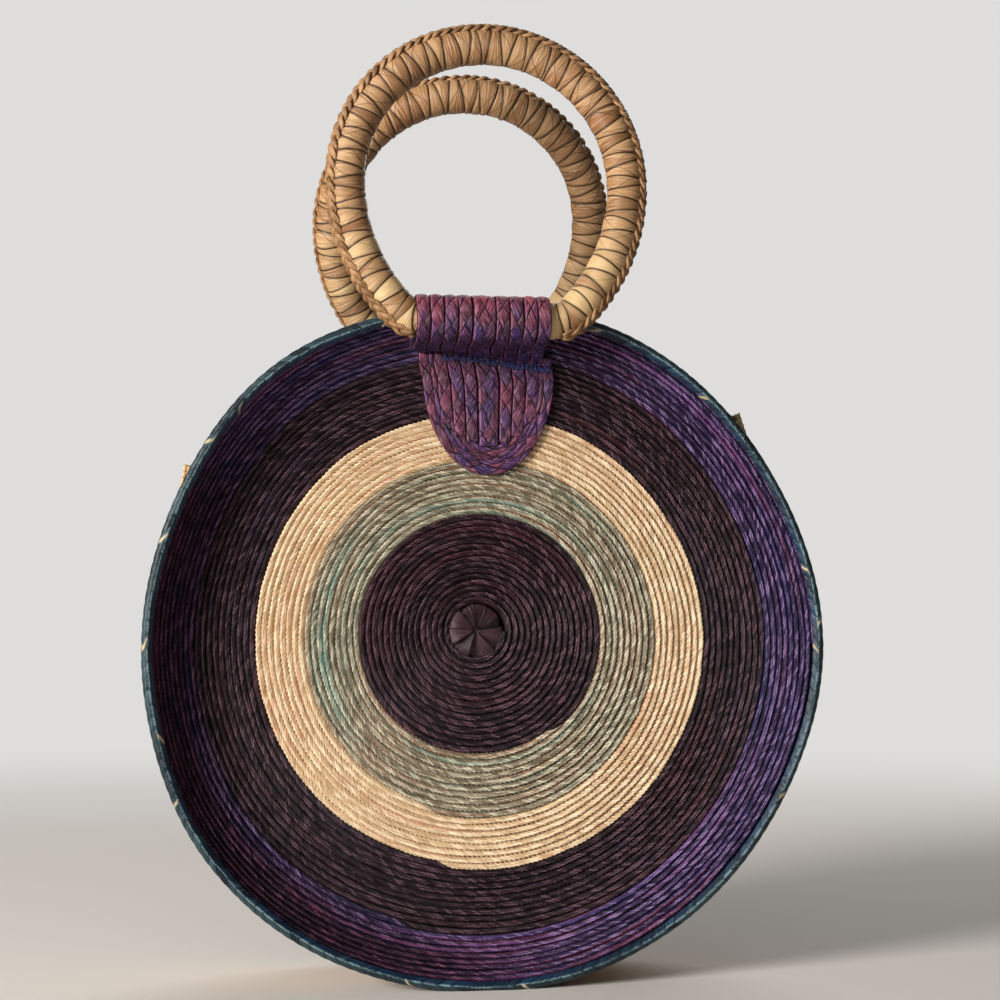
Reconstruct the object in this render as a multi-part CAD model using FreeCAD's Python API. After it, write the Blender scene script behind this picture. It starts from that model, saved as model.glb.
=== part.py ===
import FreeCAD, Part
import math
import os
from FreeCAD import Vector

# Round bag of sewn palm plait: two dished panels back to back, a side band between them,
# and two wrapped handles, each swinging in the folded sleeve of a plait tab.
# X is to the right seen from the front, Y to the back, Z up. The bag stands on Z = 0.

# Panels
rim_radius = 177.1            # outside of the rim binding
bag_depth = 92.0              # front of the front rim to the back of the rear rim
dish_depth = 24.0             # panel floor behind the front of the rim
wall_angle = 48.0             # degrees, slope of the dished wall at the rim
bend_radius = 46.0            # bend between floor and wall
panel_thickness = 3.0         # plait rows sewn over each other
row_groove = 0.5              # depth of the groove between two rows
plum_rows = 16
mint_rows = 9
natural_rows = 9
black_rows = 9
purple_rows = 9

# Rosette of folded leaf at the middle of a panel
rosette_radius = 12.5
rosette_leaves = 6
leaf_low = 0.2                # height of a leaf's tucked edge over the disc below it
leaf_middle = 0.6             # height at the middle of the rosette
leaf_high = 1.2               # height of its free edge

# Rim binding
binding_thickness = 1.6
binding_front = 5.0           # on the show side of the panel
binding_back = 9.5            # inside the bag
foot_depth = 1.2              # pressed flat where the bag stands

# Side band
band_inset = 5.1              # outside of the band inside the rim
band_thickness = 2.5
band_rows = 20
band_left_angle = 149.0       # degrees, direction of each tip seen from the panel's middle
band_right_angle = 43.0       # degrees
band_free_length = 45.0       # straight end that is not sewn to the rims
fold_length = 20.0            # turned-back end of the band
fold_thickness = 2.0
fold_margin = 5.0             # the fold is narrower than the band by this at each side
seam_radius = 0.9             # whipped thread along each edge of the band

# Handles
handle_radius = 71.8          # middle of the tube in the round upper half
handle_height = 69.3          # middle of the round upper half above the bottom bar
corner_radius = 13.0          # bend between the bottom bar and a side
core_radius = 6.3
wrap_radius = 9.2
wrap_groove = 0.35            # depth between two turns of leaf
turn_pitch = 7.4              # leaf turn to leaf turn along the tube
turn_share = 0.84             # part of a turn that stands proud
ridge_radius = 2.4            # plaited ridge on the outer edge
ridge_height = 1.75           # top of the ridge over the wrap
ridge_trim_angle = 10.0       # degrees of the corner bend left bare beside the sleeve
front_lean_angle = 1.0        # degrees that each handle leans in over the mouth
rear_lean_angle = 21.0        # degrees

# Tabs
sleeve_width = 69.0
sleeve_wall = 2.4
bar_drop = 11.1               # bottom bar below the top of the rim
bar_forward = 12.5            # bottom bar in front of the rim
neck_inset = 26.0             # where the sleeve meets the panel, measured along it from its edge
neck_half = 2.4               # half the thickness of the two layers there
neck_hug_angle = 20.0         # degrees the back layer follows the bar past its straight line
tongue_side = 20.6            # straight sides below the sleeve
tongue_round = 41.0           # rounded end below them
tongue_inset = 0.5            # each side of the tongue inside the sleeve's end
tongue_thickness = 2.6
border_plaits = 2
border_width = 4.4
strip_plaits = 7
plait_gap = 0.3               # between neighbouring plaits
stitch_count = 17
stitch_radius = 0.7
stitch_drop = 2.0             # stitch row below the tongue's top edge
stitch_slant = 1.1            # half the rise and half the run of a stitch

# Clearances
seat = 0.05                   # sewn face to face
soft_gap = 0.3                # between loose layers
bar_clearance = 0.8           # handle bar in its sleeve

half_thickness = panel_thickness / 2
nose_radius = half_thickness + binding_thickness
slope = math.radians(wall_angle)
front_y = -bag_depth / 2
middle_z = rim_radius - foot_depth
middle = Vector(0, 0, middle_z)
floor_y = front_y + dish_depth + half_thickness
edge_radius = rim_radius - nose_radius
wall_rise = dish_depth + half_thickness - nose_radius - bend_radius * (1 - math.cos(slope))
wall_length = wall_rise / math.sin(slope)
floor_radius = edge_radius - bend_radius * math.sin(slope) - wall_length * math.cos(slope)
bend_end = floor_radius + bend_radius * slope
edge_length = bend_end + wall_length
row_count = plum_rows + mint_rows + natural_rows + black_rows + purple_rows
row_pitch = (edge_length - rosette_radius) / row_count
neck_length = edge_length - neck_inset
band_radius = rim_radius - band_inset
bar_y = front_y - bar_forward
bar_z = middle_z + rim_radius - bar_drop
bar_half = sleeve_width / 2
tongue_half_width = bar_half - tongue_inset
to_front = Vector(0, -1, 0)
to_right = Vector(1, 0, 0)


def panel_point(length, proud):
    # Point of the panel's section at X > 0: length along its middle line, proud of it to the front.
    if length <= floor_radius:
        return Vector(length, floor_y - proud, middle_z)
    turn = min((length - floor_radius) / bend_radius, slope)
    past = max(length - bend_end, 0)
    x = floor_radius + (bend_radius - proud) * math.sin(turn) + past * math.cos(slope)
    y = floor_y - bend_radius + (bend_radius - proud) * math.cos(turn) - past * math.sin(slope)
    return Vector(x, y, middle_z)


def line(start, end):
    return Part.LineSegment(start, end).toShape()


def arc(start, through, end):
    return Part.Arc(start, through, end).toShape()


def panel_line(start, end, proud):
    # Edges that follow the panel's section: lines on the floor and the wall, an arc between.
    stops = [s for s in (floor_radius, bend_end) if min(start, end) < s < max(start, end)]
    stops = sorted([start, end] + stops, reverse=start > end)
    edges = []
    for a, b in zip(stops, stops[1:]):
        half = (a + b) / 2
        if floor_radius < half < bend_end:
            edges.append(arc(panel_point(a, proud), panel_point(half, proud), panel_point(b, proud)))
        else:
            edges.append(line(panel_point(a, proud), panel_point(b, proud)))
    return edges


def turned(edges, degrees=360.0):
    # Revolves a section about the bag's middle, from X towards Z.
    return Part.Face(Part.Wire(edges)).revolve(middle, to_front, degrees)


def panel_layer(start, end, inner, outer, degrees):
    # A layer that follows the panel, centred on its top.
    edges = panel_line(start, end, outer)
    edges.append(line(panel_point(end, outer), panel_point(end, inner)))
    edges += panel_line(end, start, inner)
    edges.append(line(panel_point(start, inner), panel_point(start, outer)))
    layer = turned(edges, degrees)
    layer.rotate(middle, to_front, 90 - degrees / 2)
    return layer


def coil(first_row, rows):
    # Plait wound round and round: a rounded row on the show side, smooth inside the bag.
    start = rosette_radius + first_row * row_pitch
    end = start + rows * row_pitch
    low = half_thickness - row_groove
    edges = []
    for row in range(rows):
        a = start + row * row_pitch
        b = a + row_pitch
        crest = panel_point((a + b) / 2, half_thickness)
        edges.append(arc(panel_point(a, low), crest, panel_point(b, low)))
    edges.append(line(panel_point(end, low), panel_point(end, -half_thickness)))
    edges += panel_line(end, start, -half_thickness)
    edges.append(line(panel_point(start, -half_thickness), panel_point(start, low)))
    return turned(edges)


def prism(bottom, top):
    # Solid between two polygons that have the same number of corners.
    faces = [Part.Face(Part.makePolygon(bottom + bottom[:1])), Part.Face(Part.makePolygon(top + top[:1]))]
    count = len(bottom)
    for i in range(count):
        j = (i + 1) % count
        faces.append(Part.Face(Part.makePolygon([bottom[i], bottom[j], top[j], top[i], bottom[i]])))
    solid = Part.makeSolid(Part.makeShell(faces))
    if solid.Volume < 0:
        solid.reverse()
    return solid


def rosette():
    # Six leaves laid round the middle like a pinwheel, each with one tucked and one free edge.
    low = half_thickness - row_groove
    back = Vector(0, floor_y + half_thickness, middle_z)
    disc = Part.makeCylinder(rosette_radius, half_thickness + low, back, to_front)
    step = 2 * math.pi / rosette_leaves

    def spot(radius, turn, height):
        return Vector(radius * math.cos(turn), floor_y - low - height, middle_z + radius * math.sin(turn))

    leaves = []
    for number in range(rosette_leaves):
        a = number * step
        b = a + step
        bottom = [spot(0, 0, 0), spot(rosette_radius, a, 0), spot(rosette_radius, b, 0)]
        heights = [leaf_middle, leaf_low, leaf_high]
        top = [p + to_front * h for p, h in zip(bottom, heights)]
        leaves.append(prism(bottom, top))
    return disc.multiFuse(leaves)


def rim_binding():
    # A plait folded over the panel's edge, pressed flat where the bag stands.
    inner = half_thickness + seat
    start = edge_length - binding_front
    back = edge_length - binding_back
    edge = edge_length + seat
    nose = panel_point(edge_length + nose_radius, 0)
    edges = panel_line(start, edge_length, nose_radius)
    edges.append(arc(panel_point(edge_length, nose_radius), nose, panel_point(edge_length, -nose_radius)))
    edges += panel_line(edge_length, back, -nose_radius)
    edges.append(line(panel_point(back, -nose_radius), panel_point(back, -inner)))
    edges += panel_line(back, edge, -inner)
    edges.append(line(panel_point(edge, -inner), panel_point(edge, inner)))
    edges += panel_line(edge, start, inner)
    edges.append(line(panel_point(start, inner), panel_point(start, nose_radius)))
    ground = Part.makeBox(2 * rim_radius, bag_depth, rim_radius, Vector(-rim_radius, front_y, -rim_radius))
    return turned(edges).cut(ground)


def band_edge(radius, gap):
    # Y of a point at this radius that is the given gap behind the back of the front binding.
    foot = panel_point(edge_length, -nose_radius - gap)
    return foot.y + (foot.x - radius) * math.tan(slope)


def band_sweep(edges, free_start):
    # Carries a section at X > 0 round the underside of the bag, with a straight run at each end.
    free = math.degrees(math.atan2(band_free_length, band_radius))
    first = band_left_angle + free
    total = 360.0 + band_right_angle - free - first
    face = Part.Face(Part.Wire(edges))
    face.rotate(middle, to_front, first)
    swept = face.revolve(middle, to_front, total)
    if free_start is None:
        return [swept]
    last = face.copy()
    last.rotate(middle, to_front, total)
    ends = []
    for shape, turn, way in ((face, first, -1), (last, first + total, 1)):
        angle = math.radians(turn)
        along = Vector(-math.sin(angle), 0, math.cos(angle)) * way
        end = shape.copy()
        end.translate(along * free_start)
        ends.append(end.extrude(along * (band_free_length - free_start)))
    return [swept] + ends


def at_band(radius, y):
    return Vector(radius, y, middle_z)


def side_band():
    low = band_radius - row_groove
    inside = band_radius - band_thickness
    half_outer = -band_edge(low, soft_gap)
    half_inner = -band_edge(inside, soft_gap)
    pitch = 2 * half_outer / band_rows
    edges = []
    for row in range(band_rows):
        a = -half_outer + row * pitch
        b = a + pitch
        edges.append(arc(at_band(low, a), at_band(band_radius, (a + b) / 2), at_band(low, b)))
    edges.append(line(at_band(low, half_outer), at_band(inside, half_inner)))
    edges.append(line(at_band(inside, half_inner), at_band(inside, -half_inner)))
    edges.append(line(at_band(inside, -half_inner), at_band(low, -half_outer)))
    swept, left, right = band_sweep(edges, 0.0)
    return swept.multiFuse([left, right])


def band_folds():
    # The band's two ends, turned back on themselves.
    half = -band_edge(band_radius, soft_gap) - fold_margin
    low = band_radius + seat
    high = low + fold_thickness
    corners = [at_band(low, -half), at_band(high, -half), at_band(high, half), at_band(low, half)]
    edges = [line(a, b) for a, b in zip(corners, corners[1:] + corners[:1])]
    return Part.makeCompound(band_sweep(edges, band_free_length - fold_length)[1:])


def band_seam():
    # Whipped thread in the corner between the band's front edge and the binding.
    radius = band_radius + seam_radius + seat
    y = band_edge(radius, seam_radius + seat)
    circle = Part.Circle(at_band(radius, y), Vector(0, 0, 1), seam_radius).toShape()
    return band_sweep([circle], None)[0]


def handle_circle(radius):
    # Outline of the tube at the right end of the bottom bar.
    return Part.Circle(Vector(bar_half, bar_y, bar_z), to_right, radius).toShape()


def bend(centre, turn, radius):
    return centre, turn, math.radians(turn) * radius


def across(point):
    return Vector(-point.x, point.y, point.z)


side_offset = bar_half - handle_radius
side_drop = handle_height - corner_radius
side_radius = (corner_radius ** 2 - side_offset ** 2 - side_drop ** 2) / (2 * (side_offset + corner_radius))
corner_middle = Vector(bar_half, bar_y, bar_z + corner_radius)
side_middle = Vector(handle_radius - side_radius, bar_y, bar_z + handle_height)
top_middle = Vector(0, bar_y, bar_z + handle_height)
side_turn = math.degrees(math.atan2(side_drop, bar_half - side_middle.x))
corner_turn = 90.0 - side_turn
handle_path = [
    bend(corner_middle, corner_turn, corner_radius),
    bend(side_middle, side_turn, side_radius),
    bend(top_middle, 180.0, handle_radius),
    bend(across(side_middle), side_turn, side_radius),
    bend(across(corner_middle), corner_turn, corner_radius),
    (None, 0.0, 2 * bar_half),
]


def carry(shape, stretch, share):
    # Moves a shape along one stretch of the handle, by a share of its length.
    centre, turn, length = stretch
    moved = shape.copy()
    if centre is None:
        moved.translate(to_right * length * share)
    else:
        moved.rotate(centre, to_front, turn * share)
    return moved


def sweep(shape, stretch, share):
    centre, turn, length = stretch
    if centre is None:
        return shape.extrude(to_right * length * share)
    return shape.revolve(centre, to_front, turn * share)


def handle_tube(radius):
    section = Part.Face(Part.Wire(handle_circle(radius)))
    solids = []
    for stretch in handle_path:
        solids.append(sweep(section, stretch, 1.0))
        section = carry(section, stretch, 1.0)
    return solids[0].multiFuse(solids[1:])


def handle_wrap():
    # Leaf wound round the core: proud turns with a groove between neighbours.
    low = handle_circle(wrap_radius - wrap_groove)
    high = handle_circle(wrap_radius)
    shoulder = Part.Face(Part.Wire(high)).cut(Part.Face(Part.Wire(low))).Faces[0]
    skin = []
    for stretch in handle_path:
        count = round(stretch[2] / turn_pitch)
        for number in range(count):
            start = number / count
            rise = start + (1 - turn_share) / 2 / count
            fall = start + (1 + turn_share) / 2 / count
            end = start + 1 / count
            skin.append(sweep(carry(low, stretch, start), stretch, rise - start))
            skin.append(carry(shoulder, stretch, rise))
            skin.append(sweep(carry(high, stretch, rise), stretch, fall - rise))
            skin.append(carry(shoulder, stretch, fall))
            skin.append(sweep(carry(low, stretch, fall), stretch, end - fall))
        low, high, shoulder = [carry(shape, stretch, 1.0) for shape in (low, high, shoulder)]
    outside = Part.makeCompound(skin)
    outside.sewShape()
    inside = handle_tube(core_radius + seat).Shells[0]
    inside.reverse()
    return Part.makeSolid(Part.makeCompound([outside.Shells[0], inside]))


def handle_ridge():
    # Plaited ridge along the outer edge, from one end of the sleeve round to the other.
    below = wrap_radius + ridge_height - ridge_radius
    at = Vector(bar_half, bar_y, bar_z - below)
    section = Part.Face(Part.Wire(Part.Circle(at, to_right, ridge_radius).toShape()))
    section = section.cut(Part.Face(Part.Wire(handle_circle(wrap_radius + seat))))
    bare = ridge_trim_angle / corner_turn
    section = carry(section, handle_path[0], bare)
    solids = []
    for stretch, share in zip(handle_path, (1 - bare, 1, 1, 1, 1 - bare)):
        solids.append(sweep(section, stretch, share))
        section = carry(section, stretch, share)
    return solids[0].multiFuse(solids[1:])


def leaned(shape, degrees):
    shape.rotate(Vector(0, bar_y, bar_z), to_right, -degrees)
    return shape


def neck_corners():
    # Lower and upper corner of the strap's two layers where they meet the panel.
    foot = panel_point(neck_length, half_thickness)
    neck = Vector(-bar_half, foot.y, middle_z + foot.x)
    along = (Vector(-bar_half, bar_y, bar_z) - neck).normalize()
    aside = along.cross(to_right)
    return neck - (along + aside) * neck_half, neck - (along - aside) * neck_half


tongue_top = neck_corners()[0].z - middle_z - soft_gap
tongue_straight = tongue_top - tongue_side
tongue_bottom = tongue_straight - tongue_round


def tab_sleeve():
    # The strap's fold round the handle bar, narrowing to the two layers sewn to the panel.
    outer = wrap_radius + bar_clearance + sleeve_wall
    bar = Vector(-bar_half, bar_y, bar_z)
    low, high = neck_corners()

    def on_bar(turn):
        return bar + Vector(0, -math.cos(turn), math.sin(turn)) * outer

    def turn_to(point):
        return math.atan2(point.z - bar_z, bar_y - point.y)

    front_turn = turn_to(low) + math.acos(outer / bar.distanceToPoint(low))
    back_turn = turn_to(high) + 2 * math.pi - math.radians(neck_hug_angle)
    edges = [
        line(low, on_bar(front_turn)),
        arc(on_bar(front_turn), on_bar((front_turn + back_turn) / 2), on_bar(back_turn)),
        line(on_bar(back_turn), high),
        line(high, low),
    ]
    solid = Part.Face(Part.Wire(edges)).extrude(to_right * sleeve_width)
    bore = Part.makeCylinder(wrap_radius + bar_clearance, sleeve_width, bar, to_right)
    behind = panel_layer(tongue_bottom, edge_length, -bend_radius / 2, half_thickness + soft_gap, 90.0)
    rim = panel_layer(edge_length - binding_front - soft_gap, edge_length, 0.0, nose_radius + soft_gap, 90.0)
    return solid.cut(bore).cut(behind).cut(rim)


def tongue_outline(inset):
    # U-shaped prism in front of and behind the panel, smaller than the tongue by the inset.
    wide = tongue_half_width - inset
    tall = tongue_straight - tongue_bottom - inset
    y = front_y
    centre = Vector(0, y, middle_z + tongue_straight)
    side = centre + to_right * wide
    other = centre - to_right * wide
    bottom = centre - Vector(0, 0, tall)
    top = Vector(0, 0, tongue_top - tongue_straight)
    if tall > wide:
        curve = Part.ArcOfEllipse(Part.Ellipse(bottom, side, centre), -math.pi / 2, math.pi / 2)
    else:
        curve = Part.ArcOfEllipse(Part.Ellipse(side, bottom, centre), 0, math.pi)
    edges = [curve.toShape(), line(side, side + top), line(side + top, other + top), line(other + top, other)]
    wire = Part.Wire(Part.__sortEdges__(edges))
    return Part.Face(wire).extrude(Vector(0, -front_y, 0))


def tongue_layer():
    low = half_thickness + soft_gap
    reach = math.hypot(tongue_half_width, tongue_top)
    return panel_layer(tongue_bottom - border_width, reach + border_width, low, low + tongue_thickness, 90.0)


def tab_border():
    # Plaits that run down one side of the tongue, round its end and up the other side.
    layer = tongue_layer()
    plaits = []
    for number in range(border_plaits):
        ring = tongue_outline(number * border_width).cut(tongue_outline((number + 1) * border_width - plait_gap))
        plaits.append(layer.common(ring))
    return Part.makeCompound(plaits)


def tab_strips():
    # Plaits side by side inside the border.
    inset = border_plaits * border_width
    half = tongue_half_width - inset
    pitch = 2 * half / strip_plaits
    inside = tongue_layer().common(tongue_outline(inset))
    strips = []
    for number in range(strip_plaits):
        left = Vector(-half + number * pitch + plait_gap / 2, front_y, middle_z)
        slab = Part.makeBox(pitch - plait_gap, -front_y, rim_radius, left)
        strips.append(inside.common(slab))
    return Part.makeCompound(strips)


def on_dish(x, height, proud):
    # Point over the panel's upper half, by its distance from the middle and its height proud of the panel.
    turn = math.atan2(height, x)
    flat = panel_point(math.hypot(x, height), proud)
    return Vector(flat.x * math.cos(turn), flat.y, middle_z + flat.x * math.sin(turn))


def stitch_row():
    # Short slanted stitches that close the sleeve and hold the tongue's top edge down.
    proud = half_thickness + soft_gap + tongue_thickness + stitch_radius + seat
    pitch = 2 * (tongue_half_width - border_width) / (stitch_count - 1)
    stitches = []
    for number in range(stitch_count):
        x = -(tongue_half_width - border_width) + number * pitch
        low = on_dish(x - stitch_slant, tongue_top - stitch_drop - stitch_slant, proud)
        high = on_dish(x + stitch_slant, tongue_top - stitch_drop + stitch_slant, proud)
        rod = Part.makeCylinder(stitch_radius, low.distanceToPoint(high), low, high - low)
        stitches.append(rod.multiFuse([Part.makeSphere(stitch_radius, low), Part.makeSphere(stitch_radius, high)]))
    return Part.makeCompound(stitches)


def to_rear(shape):
    return shape.mirror(Vector(0, 0, 0), to_front)


os.makedirs("parts", exist_ok=True)

mint_first = plum_rows
natural_first = mint_first + mint_rows
black_first = natural_first + natural_rows
purple_first = black_first + black_rows

front_centre_rosette = rosette()
front_plum_coil = coil(0, plum_rows)
front_mint_coil = coil(mint_first, mint_rows)
front_natural_coil = coil(natural_first, natural_rows)
front_black_coil = coil(black_first, black_rows)
front_purple_coil = coil(purple_first, purple_rows)
front_rim_binding = rim_binding()
front_tab_sleeve = tab_sleeve()
front_tab_strips = tab_strips()
front_tab_border = tab_border()
front_tab_stitching = stitch_row()
gusset_front_seam = band_seam()
core = handle_tube(core_radius)
wrap = handle_wrap()
ridge = handle_ridge()

front_centre_rosette.exportStep("parts/front_centre_rosette.step")
front_plum_coil.exportStep("parts/front_plum_coil.step")
front_mint_coil.exportStep("parts/front_mint_coil.step")
front_natural_coil.exportStep("parts/front_natural_coil.step")
front_black_coil.exportStep("parts/front_black_coil.step")
front_purple_coil.exportStep("parts/front_purple_coil.step")
front_rim_binding.exportStep("parts/front_rim_binding.step")
front_tab_sleeve.exportStep("parts/front_tab_sleeve.step")
front_tab_strips.exportStep("parts/front_tab_strips.step")
front_tab_border.exportStep("parts/front_tab_border.step")
front_tab_stitching.exportStep("parts/front_tab_stitching.step")

to_rear(front_centre_rosette).exportStep("parts/rear_centre_rosette.step")
to_rear(front_plum_coil).exportStep("parts/rear_plum_coil.step")
to_rear(front_mint_coil).exportStep("parts/rear_mint_coil.step")
to_rear(front_natural_coil).exportStep("parts/rear_natural_coil.step")
to_rear(front_black_coil).exportStep("parts/rear_black_coil.step")
to_rear(front_purple_coil).exportStep("parts/rear_purple_coil.step")
to_rear(front_rim_binding).exportStep("parts/rear_rim_binding.step")
to_rear(front_tab_sleeve).exportStep("parts/rear_tab_sleeve.step")
to_rear(front_tab_strips).exportStep("parts/rear_tab_strips.step")
to_rear(front_tab_border).exportStep("parts/rear_tab_border.step")
to_rear(front_tab_stitching).exportStep("parts/rear_tab_stitching.step")

leaned(core.copy(), front_lean_angle).exportStep("parts/front_handle_core.step")
leaned(wrap.copy(), front_lean_angle).exportStep("parts/front_handle_wrap.step")
leaned(ridge.copy(), front_lean_angle).exportStep("parts/front_handle_ridge.step")
to_rear(leaned(core.copy(), rear_lean_angle)).exportStep("parts/rear_handle_core.step")
to_rear(leaned(wrap.copy(), rear_lean_angle)).exportStep("parts/rear_handle_wrap.step")
to_rear(leaned(ridge.copy(), rear_lean_angle)).exportStep("parts/rear_handle_ridge.step")

side_band().exportStep("parts/gusset_band.step")
band_folds().exportStep("parts/gusset_end_folds.step")
gusset_front_seam.exportStep("parts/gusset_front_seam.step")
to_rear(gusset_front_seam).exportStep("parts/gusset_rear_seam.step")
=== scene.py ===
import math
import bpy
import numpy as np
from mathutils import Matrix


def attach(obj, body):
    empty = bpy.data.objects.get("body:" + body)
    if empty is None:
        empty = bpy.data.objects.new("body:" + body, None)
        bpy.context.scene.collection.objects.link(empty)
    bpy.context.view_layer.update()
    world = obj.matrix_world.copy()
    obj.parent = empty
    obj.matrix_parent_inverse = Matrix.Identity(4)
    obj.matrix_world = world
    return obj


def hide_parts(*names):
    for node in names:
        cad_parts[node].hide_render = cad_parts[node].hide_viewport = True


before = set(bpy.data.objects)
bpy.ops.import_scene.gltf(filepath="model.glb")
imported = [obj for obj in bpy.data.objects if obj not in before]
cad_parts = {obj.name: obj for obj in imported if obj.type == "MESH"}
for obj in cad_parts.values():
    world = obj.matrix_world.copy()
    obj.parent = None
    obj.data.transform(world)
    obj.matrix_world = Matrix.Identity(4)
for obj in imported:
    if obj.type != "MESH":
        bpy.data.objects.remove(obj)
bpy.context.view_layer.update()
print("frame:", len(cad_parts), "CAD nodes")

mm = 0.001
tau = 2 * math.pi
sides = {"front": 1, "rear": -1}   # the rear half is the front half mirrored in Y


# Meshes: every piece is one or more grids of points, in mm, put into one mesh

def gridCells(nu, nv, wrapU, wrapV):
    # corner numbers of every cell of a grid whose points are counted along v first
    index = np.arange(nu * nv).reshape(nu, nv)
    index = np.concatenate([index, index[:1]], 0) if wrapU else index
    index = np.concatenate([index, index[:, :1]], 1) if wrapV else index
    corners = (index[:-1, :-1], index[1:, :-1], index[1:, 1:], index[:-1, 1:])
    return np.stack(corners, -1).reshape(-1, 4)


class Skin:
    def __init__(self):
        self.points, self.loops, self.sizes, self.uvs, self.marks = [], [], [], [], []
        self.count = 0

    def add(self, points, uv, wrapU=False, mark=0.0):
        # points (along, around, 3), closed around; uv has one more row or column where the grid closes
        nu, nv = points.shape[:2]
        flat, flatUv = points.reshape(-1, 3), uv.reshape(-1, 2)
        cells = gridCells(nu, nv, wrapU, True)
        uvCells = gridCells(nu + wrapU, nv + 1, False, False)
        a, b, c, d = (flat[cells[:, i]] - flat.mean(0) for i in range(4))
        volume = np.sum(a * np.cross(b, c)) + np.sum(a * np.cross(c, d))
        way = -1 if volume < 0 else 1   # faces point outwards
        loops = [cells[:, ::way].ravel()]
        uvs = [flatUv[uvCells[:, ::way].ravel()]]
        sizes = [np.full(len(cells), 4)]
        if not wrapU:
            for row, turn in ((0, way), (nu - 1, -way)):   # a tube's two ends
                loops.append((np.arange(nv) + row * nv)[::turn])
                uvs.append(uv[row, :nv][::turn])
                sizes.append(np.array([nv]))
        self.points.append(flat)
        self.loops.append(np.concatenate(loops) + self.count)
        self.uvs.append(np.concatenate(uvs))
        self.sizes.append(np.concatenate(sizes))
        self.marks.append(np.broadcast_to(mark, (nu, nv)).ravel())
        self.count += len(flat)
        return self

    def build(self, node, ending, body, slot, finish):
        # all grids as one smooth mesh, which rides on a body and stands for a CAD node
        name = f"{node}_{ending}"
        loops, sizes = np.concatenate(self.loops), np.concatenate(self.sizes)
        mesh = bpy.data.meshes.new(name)
        mesh.vertices.add(self.count)
        mesh.loops.add(len(loops))
        mesh.polygons.add(len(sizes))
        mesh.vertices.foreach_set("co", (np.concatenate(self.points) * mm).astype(np.float32).ravel())
        mesh.loops.foreach_set("vertex_index", loops.astype(np.int32))
        mesh.polygons.foreach_set("loop_start", (np.cumsum(sizes) - sizes).astype(np.int32))
        mesh.polygons.foreach_set("use_smooth", np.ones(len(sizes), bool))
        weave = mesh.uv_layers.new(name="weave")
        weave.data.foreach_set("uv", np.concatenate(self.uvs).astype(np.float32).ravel())
        mark = mesh.attributes.new("mark", "FLOAT", "POINT")
        mark.data.foreach_set("value", np.concatenate(self.marks).astype(np.float32))
        mesh.update(calc_edges=True)
        mesh.materials.append(finish)
        piece = bpy.data.objects.new(name, mesh)
        bpy.context.scene.collection.objects.link(piece)
        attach(piece, body)
        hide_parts(node)


def dice(seed, where):
    # a piece's own random numbers, from the next seed at the rear
    return np.random.default_rng(seed + (where == "rear"))


def plainUv(along, around):
    # every value along with every value around
    return np.stack(np.meshgrid(along, around, indexing="ij"), -1)


def wander(rng, length, wave, size):
    # a smooth random line over these lengths: three sines of random phase, ever shorter
    waves = wave * np.array([1.0, 0.61, 0.37])
    phases = rng.uniform(0, tau, 3)
    return size * sum(w * np.sin(tau * length / v + p) for w, v, p in zip((0.6, 0.4, 0.3), waves, phases))


def lozenge(a, b):
    # relief of two crossing families of strands counted by a and b: the one on top changes from cell to
    # cell, rises as the root of a sine across the strand and dips a little at both ends of its cell
    top = (np.floor(a) + np.floor(b)) % 2 < 1
    across = np.where(top, a % 1, b % 1)
    along = np.where(top, b % 1, a % 1)
    return np.sqrt(np.sin(np.pi * across)) * (0.55 + 0.45 * np.sin(np.pi * along))


def unit(ways):
    # each direction divided by its length
    return ways / np.linalg.norm(ways, axis=1)[:, None]


def evened(line, step):
    # a flat line's points at even steps along it, and the lengths of those steps from its start
    length = np.append(0, np.cumsum(np.linalg.norm(np.diff(line, axis=0), axis=1)))
    along = np.arange(0, length[-1], step)
    return np.stack([np.interp(along, length, line[:, i]) for i in range(2)], -1), along


def rope(path, up, wide, high, count=6):
    # an oval section carried along a line of points; up is the direction of its height
    way = unit(np.gradient(path, axis=0))
    aside = unit(np.cross(way, up))
    upward = np.cross(aside, way)
    angle = np.linspace(0, tau, count + 1)[:-1, None]
    return path[:, None] + (aside[:, None] * wide * np.cos(angle) + upward[:, None] * high * np.sin(angle))


# Shaders: a socket that takes part in plain arithmetic

def operator(operation, flipped=False):
    # a method that puts a socket and another value, in either order, through a Math node
    def method(self, other):
        return self.calc(operation, *((other, self) if flipped else (self, other)))
    return method


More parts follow.
